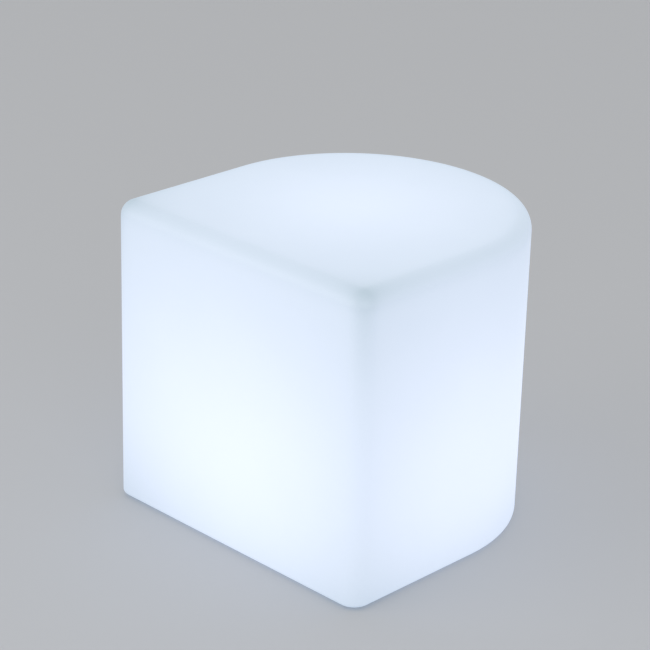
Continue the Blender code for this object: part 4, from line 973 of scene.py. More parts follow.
recipe = Recipe("wire_along_path", radius="Float", sides="Int")
path = recipe.add("GeometryNodeMeshToCurve", sockets={"Mesh": recipe["places"]})
section = {"Resolution": recipe["sides"], "Radius": recipe["radius"]}
section = recipe.add("GeometryNodeCurvePrimitiveCircle", {"mode": "RADIUS"}, section)
sweep = {"Curve": path, "Profile Curve": section, "Fill Caps": True}
wire_recipe = recipe.serve(recipe.add("GeometryNodeCurveToMesh", sockets=sweep))

# %% [markdown]
# ## Button
# The button slides in the plate. Its face is dished for a fingertip and carries the common power sign, a
# broken ring and a bar. The sign could be a picture on the face, but a fine raised line catches the light as
# a moulded one does. Both follow one rule for the height of the face, so the sign lies in the dish.

# %% Power button
BUTTON_RADIUS = 0.0060
BUTTON_CROWN = 0.0006
DISH_REACH = 0.0048
DISH_DEPTH = 0.0004
DISH_ROWS = 6
BUTTON_FLANGE_WIDTH = 0.0018
BUTTON_FLANGE_THICKNESS = 0.0012
STEM_RADIUS = 0.0016
SIGN_RADIUS = 0.0026
SIGN_LINE = 0.00022
SIGN_GAP = 38  # degrees to each side of the bar
SIGN_STEP = 6
SIGN_BAR = (0.3, 0.6, 0.9, 1.2)  # shares of the ring's radius
BUTTON_AT = spots("power_button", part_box("power_button")[0][2])[0]


def dish_z(span):
    """The height of the button's face at a distance from its middle."""
    return BUTTON_AT.z + DISH_DEPTH * math.cos(math.pi / 2 * min(span / DISH_REACH, 1)) ** 2


def on_button(span, turn):
    turn = math.radians(turn)
    return (BUTTON_AT.x + span * math.sin(turn), BUTTON_AT.y + span * math.cos(turn), dish_z(span))


flange = PLATE_TOP_Z + TOUCH_GAP
shoulder = BUTTON_RADIUS + BUTTON_FLANGE_WIDTH
spans = [DISH_REACH * k / DISH_ROWS for k in range(1, DISH_ROWS + 1)]
profile = [(span, dish_z(span)) for span in spans] + lower_edge(BUTTON_RADIUS, BUTTON_AT.z, BUTTON_CROWN)
profile += [(BUTTON_RADIUS, flange), (shoulder, flange), (shoulder, flange + BUTTON_FLANGE_THICKNESS)]
profile += [(STEM_RADIUS, flange + BUTTON_FLANGE_THICKNESS), (STEM_RADIUS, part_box("power_button")[1][2])]
button = turned("round_button", profile, MEDIUM_STEPS, [BUTTON_AT])
dress(button, frosted_plastic, "power_button", body="button")
broken_ring = [on_button(SIGN_RADIUS, turn) for turn in range(SIGN_GAP, 361 - SIGN_GAP, SIGN_STEP)]
bar = [on_button(SIGN_RADIUS * share, 0) for share in SIGN_BAR]
wire("power_sign", [broken_ring, bar], SIGN_LINE, mark_ink, body="button")

# %% [markdown]
# ## Spring
# A small coil spring between the button's flange and the switch pushes the button out again. Its end turns lie
# closer, as on a real one, which an eased height along the coil gives. It gets shorter as the button goes in.
# How much of its length is left then is worked out below, but nothing squashes the coil by it.

# %% Button spring
SPRING_RADIUS = 0.0036
SPRING_WIRE = 0.0003
SPRING_TURNS = 5
POINTS_PER_TURN = 20
END_TURNS_CLOSER = 0.35
BUTTON_TRAVEL = 0.0015

_, bottom, top = gauge("button_spring")
low, span = bottom + SPRING_WIRE, top - bottom - 2 * SPRING_WIRE
coil = []
for k in range(SPRING_TURNS * POINTS_PER_TURN + 1):
    share, turn = k / (SPRING_TURNS * POINTS_PER_TURN), math.tau * k / POINTS_PER_TURN
    eased = share - END_TURNS_CLOSER * math.sin(math.tau * share) / math.tau
    x, y = SPRING_RADIUS * math.cos(turn), SPRING_RADIUS * math.sin(turn)
    coil.append((BUTTON_AT.x + x, BUTTON_AT.y + y, low + span * eased))
spring = wire("coil_spring", [coil], SPRING_WIRE, screw_steel, "button_spring")
keep = 1 - BUTTON_TRAVEL / (top - bottom)
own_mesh(spring)
print("spring:", round((top - bottom) * 1000, 2), "mm at rest")

# %% [markdown]
# ## Windows and plug
# Beside the button sit a light pipe that shows the charge, and a dark window for a remote control's signal.
# A soft plug closes the mould's vent hole in the base. All three are turned, with slightly hollow faces, as
# moulded faces are, and a flange or a barb that keeps them in their hole.

# %% Light pipe, window and vent plug
LENS_FLANGE_WIDTH = 0.0014
LENS_FLANGE_THICKNESS = 0.0010
INDICATOR_RADIUS = 0.0015
INDICATOR_EDGE = 0.0006
SENSOR_RADIUS = 0.0035
SENSOR_CROWN = 0.0003
VENT_HEAD_THICKNESS = 0.0012
VENT_EDGE = 0.0004
VENT_CROWN = 0.0003
VENT_DISH_SHARES = (0.4, 0.5)
VENT_STEM_RADIUS = 0.0036
VENT_BARB_RADIUS = 0.0046
VENT_BARB_HEIGHT = 0.0020


def flanged(node, face, radius):
    """A window or light pipe: its face in the plate, a flange on the plate, and the rest above."""
    seat, wide = PLATE_TOP_Z + TOUCH_GAP, radius + LENS_FLANGE_WIDTH
    rest = [(radius, seat), (wide, seat), (wide, seat + LENS_FLANGE_THICKNESS)]
    rest += [(radius, seat + LENS_FLANGE_THICKNESS), (radius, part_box(node)[1][2])]
    return turned(node + "_fine", face + rest, SMALL_STEPS, spots(node))


face = lower_edge(INDICATOR_RADIUS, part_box("indicator_lens")[0][2], INDICATOR_EDGE)
dress(flanged("indicator_lens", face, INDICATOR_RADIUS), frosted_plastic, "indicator_lens")
face = crowned(SENSOR_RADIUS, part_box("sensor_window")[0][2], SENSOR_CROWN)
dress(flanged("sensor_window", face, SENSOR_RADIUS), smoked_plastic, "sensor_window")

radius, bottom, top = gauge("vent_plug")
head_top, barb, slope = bottom + VENT_HEAD_THICKNESS, top - VENT_BARB_HEIGHT, VENT_EDGE / 2
inner, outer = (radius * share for share in VENT_DISH_SHARES)
profile = crowned(inner, bottom + VENT_CROWN, 0.0) + [(outer, bottom)]
profile += lower_edge(radius, bottom, VENT_EDGE)
profile += [(radius, head_top - slope), (radius - slope, head_top), (VENT_STEM_RADIUS, head_top)]
profile += [(VENT_STEM_RADIUS, barb), (VENT_BARB_RADIUS, barb), (VENT_STEM_RADIUS, top)]
dress(turned("soft_vent_plug", profile, SMALL_STEPS, spots("vent_plug")), silicone, "vent_plug")

# %% [markdown]
# ## Cap of the charging port
# A soft silicone cap plugs the port. It is a turned disc with a plug, joined to a flat strap that ends in its
# anchor and to a tab to pull it by, which has ribs for the finger. The strap bends as the cap swings out, but
# it is short and thick, so cap and strap turn as one. The anchor's form is right as packed: its copy only gets
# rounded edges.

# %% Charging port's cap and its anchor
CAP_RADIUS = 0.0070
CAP_THICKNESS = 0.0016
CAP_EDGE = 0.0006
CAP_DISH = 0.0003
CAP_DISH_SHARES = (0.6, 0.68)
STRAP_ROOT_SHARE = 0.8
PLUG_RADIUS = 0.00465
PLUG_BEAD = 0.0002
PLUG_STEP = 0.0003
STRAP_WIDTH = 0.005
SOFT_EDGE = 0.00022
RIB_COUNT = 3
RIB_PITCH = 0.0008
RIB_WIDTH = 0.0003
FIRST_RIB = 0.6  # in pitches from the tab's end


def refined(name, node, width):
    """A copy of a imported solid, with its flat faces made whole again and its edges rounded."""
    bm = bmesh.new()
    bm.from_mesh(frame["nodes"][node].data)
    bmesh.ops.remove_doubles(bm, verts=bm.verts, dist=WELD)
    bmesh.ops.dissolve_limit(bm, angle_limit=math.radians(1), verts=bm.verts, edges=bm.edges)
    made = show(name, bpy.data.meshes.new(name))
    bm.to_mesh(made.data)
    bm.free()
    return soften(tidy(made), width)


def cap_profile(face, back, tip):
    inner, outer = (CAP_RADIUS * share for share in CAP_DISH_SHARES)
    slope = CAP_EDGE / 3
    profile = crowned(inner, face + CAP_DISH, 0.0, 3) + [(outer, face)] + lower_edge(CAP_RADIUS, face, CAP_EDGE)
    profile += [(CAP_RADIUS, back - slope), (CAP_RADIUS - slope, back), (PLUG_RADIUS, back)]
    profile += [(PLUG_RADIUS, tip - 3 * PLUG_STEP), (PLUG_RADIUS + PLUG_BEAD, tip - 2 * PLUG_STEP)]
    return profile + [(PLUG_RADIUS, tip - PLUG_STEP), (PLUG_RADIUS - 2 * PLUG_BEAD, tip)]


low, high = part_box("charge_cap")
x, y, _ = spots("charge_jack")[0]
face, half, thin, root = low[2], STRAP_WIDTH / 2, low[2] + CAP_THICKNESS / 2, CAP_RADIUS * STRAP_ROOT_SHARE
cap = turned("soft_cap", cap_profile(face, face + CAP_THICKNESS, high[2]), MEDIUM_STEPS, [(x, y)])
strap = block("strap", (x + root, y - half, face), (high[0], y + half, thin))
tab = block("tab", (low[0], y - half, face), (x - root, y + half, thin))
combine(cap, [strap, tab], "UNION")
starts = [low[0] + RIB_PITCH * (k + FIRST_RIB) for k in range(RIB_COUNT)]
gaps = [block("rib_gap", (start, y - half - OVERRUN, face - OVERRUN),
              (start + RIB_WIDTH, y + half + OVERRUN, face + RIB_WIDTH)) for start in starts]
dress(soften(combine(cap, gaps), RIB_WIDTH / 4), silicone, "charge_cap", body="cap")
dress(refined("strap_anchor", "cap_anchor", SOFT_EDGE), silicone, "cap_anchor")

# %% [markdown]
# ## Brass inserts
# The plate's screws turn in brass inserts that are moulded into the shell. Their outside is knurled in two
# bands so that the plastic holds them. The knurl could be cut with many wedges. It is quicker to push every
# second column of points inwards, and the bore's thread is part of the turned profile.

# %% Inserts
INSERT_BORE = 0.0022
INSERT_EDGE = 0.0003
INSERT_NECK_SHARE = 0.84
INSERT_BAND_SHARES = (0.42, 0.46)  # where a band ends and where the neck starts, in the insert's length
INSERT_KNURL_SHARE = 0.06
INSERT_STEPS = 48
OUTSIDE = 0.99  # points at this share of the radius or more are on the bands

radius, bottom, top = gauge("thread_insert_1")
length, edge = top - bottom, INSERT_EDGE
band, neck = (length * share for share in INSERT_BAND_SHARES)
half = [(radius - edge, 0.0), (radius, edge), (radius, band), (radius * INSERT_NECK_SHARE, neck)]
profile = [(INSERT_BORE + edge, 0.0)] + mirrored(half, 0.0, length) + [(INSERT_BORE, length)]
for k in range(int(length / THREAD_PITCH) - 1, 0, -1):
    height = k * THREAD_PITCH
    profile += [(INSERT_BORE + THREAD_DEPTH, height + THREAD_PITCH / 2), (INSERT_BORE, height)]
insert = turned("insert", profile, INSERT_STEPS, closed=True)
for vertex in insert.data.vertices:
    column = round(math.atan2(vertex.co.y, vertex.co.x) / math.tau * INSERT_STEPS - 0.5)
    if vertex.co.xy.length > radius * OUTSIDE and column % 2:
        vertex.co.xy *= 1 - INSERT_KNURL_SHARE
repeat("knurled_inserts", insert, spots("thread_insert_", bottom), brass, *family("thread_insert_"))

# %% [markdown]
# ## Seals
# Flat silicone rings keep water out between shell and cup, cup and plate, and cup and dome. Each has a fine
# groove on both faces, which makes it soft to press, and a hole for every screw that passes. A ring's profile
# is closed, its lower half comes again upside down, and the holes are drilled.

# %% Silicone seals
CUP_INNER_RADIUS = 0.0598
LARGE_HOLE = 0.0025
SMALL_HOLE = 0.0014
SEAL_EDGE = 0.0002
SEAL_GROOVE = 0.0005
SEAL_GROOVE_SHARE = 0.2  # of the ring's width, from its inner edge
# Which seal, its inner radius, whose places the holes take and their radius
SEALS = (
    ("shell_seal", LAMP_HOLE_RADIUS, "plate_screw_", LARGE_HOLE),
    ("plate_seal", CUP_INNER_RADIUS, "plate_screw_", LARGE_HOLE),
    ("lens_seal", 0.0520, "dome_screw_", SMALL_HOLE),
)


def make_seal(node, inner, screws, hole):
    outer, bottom, top = gauge(node)
    near, edge = inner + (outer - inner) * SEAL_GROOVE_SHARE, SEAL_EDGE
    half = [(inner, edge), (inner + edge, 0.0), (near - SEAL_GROOVE, 0.0), (near, edge)]
    half += [(near + SEAL_GROOVE, 0.0), (outer - edge, 0.0), (outer, edge)]
    seal = turned(node + "_ring", mirrored(half, bottom, top), DISC_STEPS, closed=True)
    dress(drilled(seal, screws, hole), silicone, node)


for row in SEALS:
    make_seal(*row)

# %% [markdown]
# ## Finishes of the lamp
# The heat plate is turned, so its grain is fine rings round the lamp's axis: noise that reads only the
# distance from the axis. The dome's frosted plastic is lit from behind, brightest on its crown and dimmer down
# its wall and on its flange, so its glow follows the height.

# %% Turned aluminium and lit dome finishes
LATHE_PITCH = 0.0003
LATHE_DEPTH = 0.000004
LATHE_ROUGHNESS = (0.26, 0.48)
ALUMINIUM_CLOUD = 0.012
ALUMINIUM_TONES = (0.70, 0.71, 0.72), (0.80, 0.81, 0.82)
DOME_TONES = (0.50, 0.53, 0.56), (0.53, 0.56, 0.59)
DOME_GLOW = (0.20, 0.25, 0.31), (0.42, 0.47, 0.52)
DOME_ROUGHNESS = (0.50, 0.60)
DOME_GRAIN = 0.0003
DOME_GRAIN_DEPTH = 0.00001
DOME_CLOUD = 0.02
CLOUD_IN_GLOW = 0.1

finish = Finish("turned_aluminium", "aluminium", metallic=1.0)
x, y, _ = finish.split(finish.place)
rings = finish.add("ShaderNodeCombineXYZ", sockets={"X": (x * x + y * y) ** 0.5})
fine = finish.noise(LATHE_PITCH, place=rings)
turned_aluminium = finish.feed(
    base_color=finish.mix(finish.noise(ALUMINIUM_CLOUD), *ALUMINIUM_TONES),
    roughness=between(*LATHE_ROUGHNESS, fine),
    normal=finish.bump(fine, LATHE_DEPTH),
)

finish = Finish("lit_dome", "frosted_plastic", emission_strength=1.0)
_, low, high = gauge("diffuser_dome")
height = finish.step(finish.split(finish.place)[2], low, high)
grain, cloud = finish.noise(DOME_GRAIN, detail=3.0), finish.noise(DOME_CLOUD)
lit_dome = finish.feed(
    base_color=finish.mix(cloud, *DOME_TONES),
    emission_color=finish.mix(height * (1 - CLOUD_IN_GLOW) + cloud * CLOUD_IN_GLOW, *DOME_GLOW),
    roughness=between(*DOME_ROUGHNESS, grain),
    normal=finish.bump(grain, DOME_GRAIN_DEPTH),
)

print("made", turned_aluminium.name, "and", lit_dome.name)

# %% [markdown]
# ## Lamp housing
# An upside-down cup reaches up into the shell and keeps the electronics dry. It is moulded, so it is a turned
# profile with a rounded foot and top, bosses for the screws joined on inside, and holes drilled after that.
# The cut in its roof is for the light board's header.

# %% Lamp cup
CUP_RADIUS = 0.0623
CUP_TOP_EDGE = 0.0006
CUP_FOOT_FILLET = 0.0015
CUP_FLANGE_THICKNESS = 0.0025
CUP_TOP_THICKNESS = 0.0025
BOSSES = (("light_board_screw_", 0.0035), ("dome_screw_", 0.0032))
BOSS_LENGTH = 0.0063
BOSS_PILOT_LENGTH = 0.0043
HEADER_LOW = Vector((0.0405, -0.0045))
HEADER_HIGH = Vector((0.0475, 0.0045))


def header_slot(bottom, top):
    return block("header_slot", (*HEADER_LOW, bottom - OVERRUN), (*HEADER_HIGH, top + OVERRUN))


flange, foot, top = gauge("lamp_cup")
shelf, ceiling, fillet = foot + CUP_FLANGE_THICKNESS, top - CUP_TOP_THICKNESS, CUP_FOOT_FILLET
profile = upper_edge(CUP_RADIUS, top, CUP_TOP_EDGE)[::-1]
profile += bend(CUP_RADIUS + fillet, shelf + fillet, fillet, 180, 270)
profile += disc_profile(flange, foot, shelf, SEAL_EDGE)[::-1]
profile += [(CUP_INNER_RADIUS, foot), (CUP_INNER_RADIUS, ceiling)]
cup = turned("lamp_housing", profile, DISC_STEPS)
root = ceiling + CUP_TOP_THICKNESS / 2
combine(cup, [bars(stem, radius, ceiling - BOSS_LENGTH, root) for stem, radius in BOSSES], "UNION")
cuts = [bars(stem, PILOT_RADIUS, ceiling - BOSS_PILOT_LENGTH, top + OVERRUN) for stem, _ in BOSSES]
drilled(cup, "plate_screw_", LARGE_HOLE, [*cuts, header_slot(ceiling, top)])
dress(cup, lamp_plastic, "lamp_cup")

# %% [markdown]
# ## Heat plate and dome
# The heat plate is a flat disc under the light board, with the same holes. The dome over the emitters has an
# upright wall that curves over to a nearly flat crown. Inside and outside follow one line, drawn twice with
# the wall's thickness between them, so the wall is even and hides the single emitters.

# %% Heat plate and dome
PLATE_RIM = 0.0002
DOME_RADIUS = 0.0540
DOME_WALL = 0.0020
DOME_FLANGE_THICKNESS = 0.0020
DOME_FILLET = 0.00075
DOME_WALL_HEIGHT = 0.0100
DOME_RISE = 0.0160
DOME_CROWN_SHARE = 0.12
DOME_STEPS = 16


def dome_line(inset, foot):
    """The dome's wall and crown, from its foot to the flat at the middle."""
    radius, rise, base = DOME_RADIUS - inset, DOME_RISE - inset, foot + DOME_WALL_HEIGHT
    crown = radius * DOME_CROWN_SHARE
    turns = [math.pi / 2 * k / DOME_STEPS for k in range(DOME_STEPS + 1)]
    return [(crown + (radius - crown) * math.cos(turn), base + rise * math.sin(turn)) for turn in turns]


radius, bottom, top = gauge("heat_plate")
plate = turned("heat_spreader", disc_profile(radius, bottom, top, PLATE_RIM), DISC_STEPS)
drilled(plate, "light_board_screw_", SMALL_HOLE, [header_slot(bottom, top)])
dress(plate, turned_aluminium, "heat_plate")

wide, foot, _ = gauge("diffuser_dome")
shelf = foot + DOME_FLANGE_THICKNESS
profile = dome_line(0.0, shelf)[::-1]
profile += bend(DOME_RADIUS + DOME_FILLET, shelf + DOME_FILLET, DOME_FILLET, 180, 270)
profile += disc_profile(wide, foot, shelf, PLATE_RIM)[::-1]
profile += [(DOME_RADIUS - DOME_WALL, foot)] + dome_line(DOME_WALL, shelf)
dome = turned("frosted_dome", profile, DISC_STEPS)
dress(drilled(dome, "dome_screw_", SMALL_HOLE), lit_dome, "diffuser_dome")

# %% [markdown]
# ## Finishes of the light board
# White solder mask shows the copper rings under it as faint steps, which a ping-pong of the distance from the
# axis draws. Phosphor is a yellow paste that glows white over the chip, so it is yellow in its base colour and
# white in its emission.

# %% Light board and phosphor finishes
LANE_PITCH = 0.0032
LANE_EDGE = (0.62, 0.72)
LANE_SHARE = 0.7  # of the tone, the rest is cloud
LANE_HEIGHT = 0.00003
MASK_TONES = (0.70, 0.70, 0.67), (0.76, 0.76, 0.74)
MASK_ROUGHNESS = (0.32, 0.44)
MASK_CLOUD, MASK_GRAIN = 0.004, 0.0004
GRAIN_IN_RELIEF = 0.1
PHOSPHOR_TONES = (0.62, 0.52, 0.10), (0.74, 0.63, 0.16)
PHOSPHOR_GLOW = (0.40, 0.42, 0.40), (0.50, 0.52, 0.50)
PHOSPHOR_GRAIN, PHOSPHOR_DEPTH = 0.0002, 0.00002

finish = Finish("light_board_mask", "light_board_white")
x, y, _ = finish.split(finish.place)
lanes = finish.maths("PINGPONG", (x * x + y * y) ** 0.5 / LANE_PITCH, 1.0)
tracks = finish.step(lanes, *LANE_EDGE)
cloud, fine = finish.noise(MASK_CLOUD, detail=3.0), finish.noise(MASK_GRAIN)
light_mask = finish.feed(
    base_color=finish.mix(tracks * LANE_SHARE + cloud * (1 - LANE_SHARE), *MASK_TONES),
    roughness=between(*MASK_ROUGHNESS, fine),
    normal=finish.bump(tracks + fine * GRAIN_IN_RELIEF, LANE_HEIGHT),
)

finish = Finish("phosphor", "frosted_plastic", emission_strength=1.0, roughness=0.6)
grain = finish.noise(PHOSPHOR_GRAIN, detail=3.0)
phosphor = finish.feed(
    base_color=finish.mix(grain, *PHOSPHOR_TONES),
    emission_color=finish.mix(grain, *PHOSPHOR_GLOW),
    normal=finish.bump(grain, PHOSPHOR_DEPTH),
)

print("made", light_mask.name, "and", phosphor.name)

# %% [markdown]
# ## Light board
# The board is a disc with eighteen surface-mounted emitters in two rings. Each is a pale square housing with
# a round well full of phosphor. In rows of points that is squares first and circles after them. One emitter,
# one fill and one resistor are drawn, and the repeat recipe sets them on their rings, turned outwards.

# %% Light board and emitters
BOARD_THICKNESS = 0.0012
LIGHT_BOARD_MARGIN = 0.0010
LIGHT_BOARD_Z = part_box("heat_plate")[1][2] + TOUCH_GAP
LIGHT_TOP_Z = LIGHT_BOARD_Z + BOARD_THICKNESS
EMITTER_SIDE = 0.0050
EMITTER_HEIGHT = 0.0016
WELL_RADIUS = 0.0019
WELL_DEPTH = 0.0005
DROP = ((0.9, 0.0), (0.94, 0.0002), (0.5, 0.0004))  # shares of the well's radius and heights over its floor
EMITTER_RINGS = ((0.0343, 12), (0.0176, 6))
RESISTOR_RING = (0.0258, 6)
RESISTOR_SIZE = (0.0016, 0.0032, 0.0006)
RESISTOR_EDGE = 0.00008


def on_circle(radius, count, first=0.0):
    turns = [math.tau * (k + first) / count for k in range(count)]
    return [(radius * math.cos(turn), radius * math.sin(turn), LIGHT_TOP_Z) for turn in turns]


radius = gauge("heat_plate")[0] - LIGHT_BOARD_MARGIN
board = turned("light_disc", disc_profile(radius, LIGHT_BOARD_Z, LIGHT_TOP_Z, PLATE_RIM), DISC_STEPS)
dress(drilled(board, "light_board_screw_", SMALL_HOLE), light_mask, "light_board")

half, well = EMITTER_SIDE / 2, EMITTER_HEIGHT - WELL_DEPTH
drop = [(WELL_RADIUS * share, well + rise) for share, rise in DROP]
profile = [(half, 0.0, 4), (half, EMITTER_HEIGHT - PLATE_RIM, 4), (half - PLATE_RIM, EMITTER_HEIGHT, 4)]
housing = turned("housing", profile + [(WELL_RADIUS, EMITTER_HEIGHT), drop[0]], TINY_STEPS)
fill = turned("fill", drop, TINY_STEPS)
places = [place for radius, count in EMITTER_RINGS for place in on_circle(radius, count)]
repeat("emitters", housing, places, lamp_plastic, "light_board", outwards=1.0)
repeat("emitter_phosphor", fill, places, phosphor, "light_board")

resistor = soften(brick("resistor", RESISTOR_SIZE), RESISTOR_EDGE, 1)
places = on_circle(*RESISTOR_RING, 0.5)
repeat("resistors", resistor, places, black_plastic, "light_board", outwards=1.0)

# %% [markdown]
# ## Header of the light board
# The light cable plugs into a header that hangs from the board through the slot of the heat plate. On the
# board's face only its four soldered pins show, as small cones of solder.

# %% Header and solder
HEADER_GAP = Vector((0.0005, 0.0005))
HEADER_EDGE = 0.0003
HEADER_IN_BOARD = 0.0004
SOLDER = ((0.0006, 0.0), (0.0004, 0.0003), (0.00015, 0.0007))
SOLDER_STEPS = 12
PIN_PLACES = ((-0.0013, -0.002), (-0.0013, 0.002), (0.0013, -0.002), (0.0013, 0.002))

low, high = HEADER_LOW + HEADER_GAP, HEADER_HIGH - HEADER_GAP
bottom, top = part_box("light_board")[0][2], LIGHT_BOARD_Z + HEADER_IN_BOARD
header = soften(block("board_header", (*low, bottom), (*high, top)), HEADER_EDGE)
dress(header, lamp_plastic, "light_board")
centre = (HEADER_LOW + HEADER_HIGH) / 2
places = [(centre.x + x, centre.y + y, LIGHT_TOP_Z) for x, y in PIN_PLACES]
repeat("solder_joints", turned("solder", SOLDER, SOLDER_STEPS), places, nickel, "light_board")

# %% [markdown]
# ## Shrink wrap
# The cells' film is glossy, and shrinking leaves faint creases along the cell. Noise is stretched along X,
# which is how the cells lie, by a smaller X coordinate.

# %% Shrink wrap finish
CREASE_WIDTH = 0.0012
CREASE_STRETCH = (0.08, 1.0, 1.0)
CREASE_DEPTH = 0.00003
FILM_TONES = (0.035, 0.17, 0.46), (0.055, 0.22, 0.55)
FILM_ROUGHNESS = (0.22, 0.36)
FILM_CLOUD = 0.010

finish = Finish("shrink_wrap", "cell_wrap")
sockets = {0: finish.place, 1: CREASE_STRETCH}
stretched = finish.add("ShaderNodeVectorMath", {"operation": "MULTIPLY"}, sockets)
creases = finish.noise(CREASE_WIDTH, place=stretched)
shrink_wrap = finish.feed(
    base_color=finish.mix(finish.noise(FILM_CLOUD), *FILM_TONES),
    roughness=between(*FILM_ROUGHNESS, creases),
    normal=finish.bump(creases, CREASE_DEPTH),
)

print("made", shrink_wrap.name)

# %% [markdown]
# ## Cells
# Two round cells lie side by side. Each is a nickel-plated can with a groove rolled in near its plus end, in
# film that folds over both ends. A strip of nickel joins each pair of ends. A cell is easiest to draw upright,
# so it is turned like the rest and then laid down.

# %% Cells and contact strips
CELL_RADIUS = 0.0092
CELL_HALF = 0.0325  # half of its length
CELL_CAP_RADIUS = 0.0030
CELL_CAP_HEIGHT = 0.0008
CELL_CAP_EDGE = 0.0004
CAN_INSET = 0.0012
WRAP_THICKNESS = 0.0001
WRAP_EDGE = 0.0005
WRAP_LIP = 0.0016
WRAP_END = 0.0003
WRAP_REST = 0.0010  # how far inside the film the piece's hidden inner wall lies
CAN_END = 0.0004  # how far the can's flat end lies inside the film's
CAP_GROOVE = (0.0003, 0.0001)  # depths of the groove round the cap, outside and inside
CRIMP_BELOW_END = 0.0045
CRIMP_DEPTH = 0.0005
CRIMP_REACH = 0.0008
STRIP_EDGE = 0.0002


def lay(made):
    """Turns an upright part so that its top points along X."""
    made.data.transform(Matrix.Rotation(math.pi / 2, 4, "Y"))
    return made


def wrap_profile():
    lip, inside = CELL_RADIUS - WRAP_LIP, CELL_RADIUS - WRAP_THICKNESS - WRAP_REST
    crimp = CELL_HALF - CRIMP_BELOW_END
    profile = [(lip, -CELL_HALF)] + lower_edge(CELL_RADIUS, -CELL_HALF, WRAP_EDGE)
    profile += [(CELL_RADIUS, crimp - CRIMP_REACH), (CELL_RADIUS - CRIMP_DEPTH, crimp)]
    profile += [(CELL_RADIUS, crimp + CRIMP_REACH)] + upper_edge(CELL_RADIUS, CELL_HALF, WRAP_EDGE)
    profile += [(lip, CELL_HALF), (lip, CELL_HALF - WRAP_END), (inside, CELL_HALF - CAN_END)]
    return profile + [(inside, CAN_END - CELL_HALF), (lip, WRAP_END - CELL_HALF)]


def can_profile():
    wide, rim, top = CELL_RADIUS - WRAP_THICKNESS - CAN_INSET, CELL_CAP_RADIUS, CELL_HALF - CAN_END
    profile = [(wide, WRAP_END - CELL_HALF), (wide, top), (rim + CAN_INSET, top)]
    profile += [(rim + CELL_CAP_EDGE, top - CAP_GROOVE[0]), (rim, top - CAP_GROOVE[1])]
    return profile + upper_edge(rim, CELL_HALF + CELL_CAP_HEIGHT, CELL_CAP_EDGE)


names = family("battery_cell_")
middle_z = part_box(names[0])[1][2] - CELL_RADIUS
cell_places = [(0.0, spot.y, middle_z) for spot in spots("battery_cell_")]
wrap = lay(turned("wrap", wrap_profile(), MEDIUM_STEPS, closed=True))
can = lay(turned("can", can_profile(), CAN_STEPS))
repeat("cell_wraps", wrap, cell_places, shrink_wrap, *names)
repeat("cell_cans", can, cell_places, nickel, *names)
for name in ("battery_contact_plus", "battery_contact_minus"):
    dress(refined(name + "_strip", name, STRIP_EDGE), nickel, name)

# %% [markdown]
# ## Battery tray
# The cells lie in a black moulded tray, held by two tabs with screws. It is a block with a well cut out and
# notches for the strips. Low ribs across its floor are cut to the cells' round, so that they don't roll: the
# cutters are two rods of the cells' own size, laid in their places.

# %% Battery tray
HOLDER_WALL = 0.0018
HOLDER_FLOOR = 0.0015
TAB_WIDTH = 0.009
NOTCH_WIDTH = 0.005
NOTCH_RISE = 0.0025
CRADLE_HEIGHT = 0.0045
CRADLE_WIDTH = 0.0016
CRADLE_PLACES = (-0.022, 0.0, 0.022)
CRADLE_CUT = 0.031
TRAY_EDGE = 0.0003


def make_cradle(half_width, floor):
    root, height = floor - HOLDER_FLOOR / 2, CRADLE_HEIGHT + HOLDER_FLOOR / 2
    ribs = [brick("rib", (CRADLE_WIDTH, 2 * half_width, height), (x, 0.0, root)) for x in CRADLE_PLACES]
    cradle = combine(ribs[0], ribs[1:], "UNION")
    rod = [(CELL_RADIUS + TOUCH_GAP, -CRADLE_CUT), (CELL_RADIUS + TOUCH_GAP, CRADLE_CUT)]
    rooms = []
    for place in cell_places:
        rooms.append(lay(turned("room", rod, MEDIUM_STEPS)))
        rooms[-1].data.transform(Matrix.Translation(place))
    return combine(cradle, rooms)


low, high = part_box("battery_holder")
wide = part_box("battery_contact_plus")[1][1] + TOUCH_GAP  # half of the well's width
floor, top, outer = low[2] + HOLDER_FLOOR, high[2], wide + HOLDER_WALL
tray = block("battery_tray", (low[0], -outer, low[2]), (high[0], outer, top))
tabs = block("tabs", (-TAB_WIDTH / 2, low[1], low[2]), (TAB_WIDTH / 2, high[1], floor))
combine(tray, [tabs], "UNION")
end, notch = high[0] - HOLDER_WALL, NOTCH_WIDTH / 2
drilled(tray, "holder_screw_", SMALL_HOLE, [
    block("well", (-end, -wide, floor), (end, wide, top + OVERRUN)),
    block("notch", (low[0] - OVERRUN, -notch, floor + NOTCH_RISE), (high[0] + OVERRUN, notch, top + OVERRUN)),
])
combine(tray, [make_cradle(wide + HOLDER_WALL / 2, floor)], "UNION")
dress(soften(tray, TRAY_EDGE), black_plastic, "battery_holder")

# %% [markdown]
# ## Finishes of the control board
# The green mask's traces are a brick pattern whose joints are the lines, and patches of noise switch them on
# and off, because a picture isn't needed for lines that nobody reads. Copper and ferrite are plain.

# %% Board, copper and ferrite finishes
BRICKS = {"Scale": 1000.0, "Mortar Size": 0.16, "Brick Width": 7.5, "Row Height": 1.3}  # in millimetres
BRICK_OFFSET = 0.35
PATCH_SIZE = 0.009
PATCH_EDGE = (0.46, 0.50)
TRACE_SHARE = 0.8  # of the tone, the rest is cloud
TRACE_HEIGHT = 0.00003
GREEN_TONES = (0.012, 0.115, 0.042), (0.045, 0.26, 0.10)
GREEN_ROUGHNESS = (0.28, 0.42)
GREEN_CLOUD = 0.003

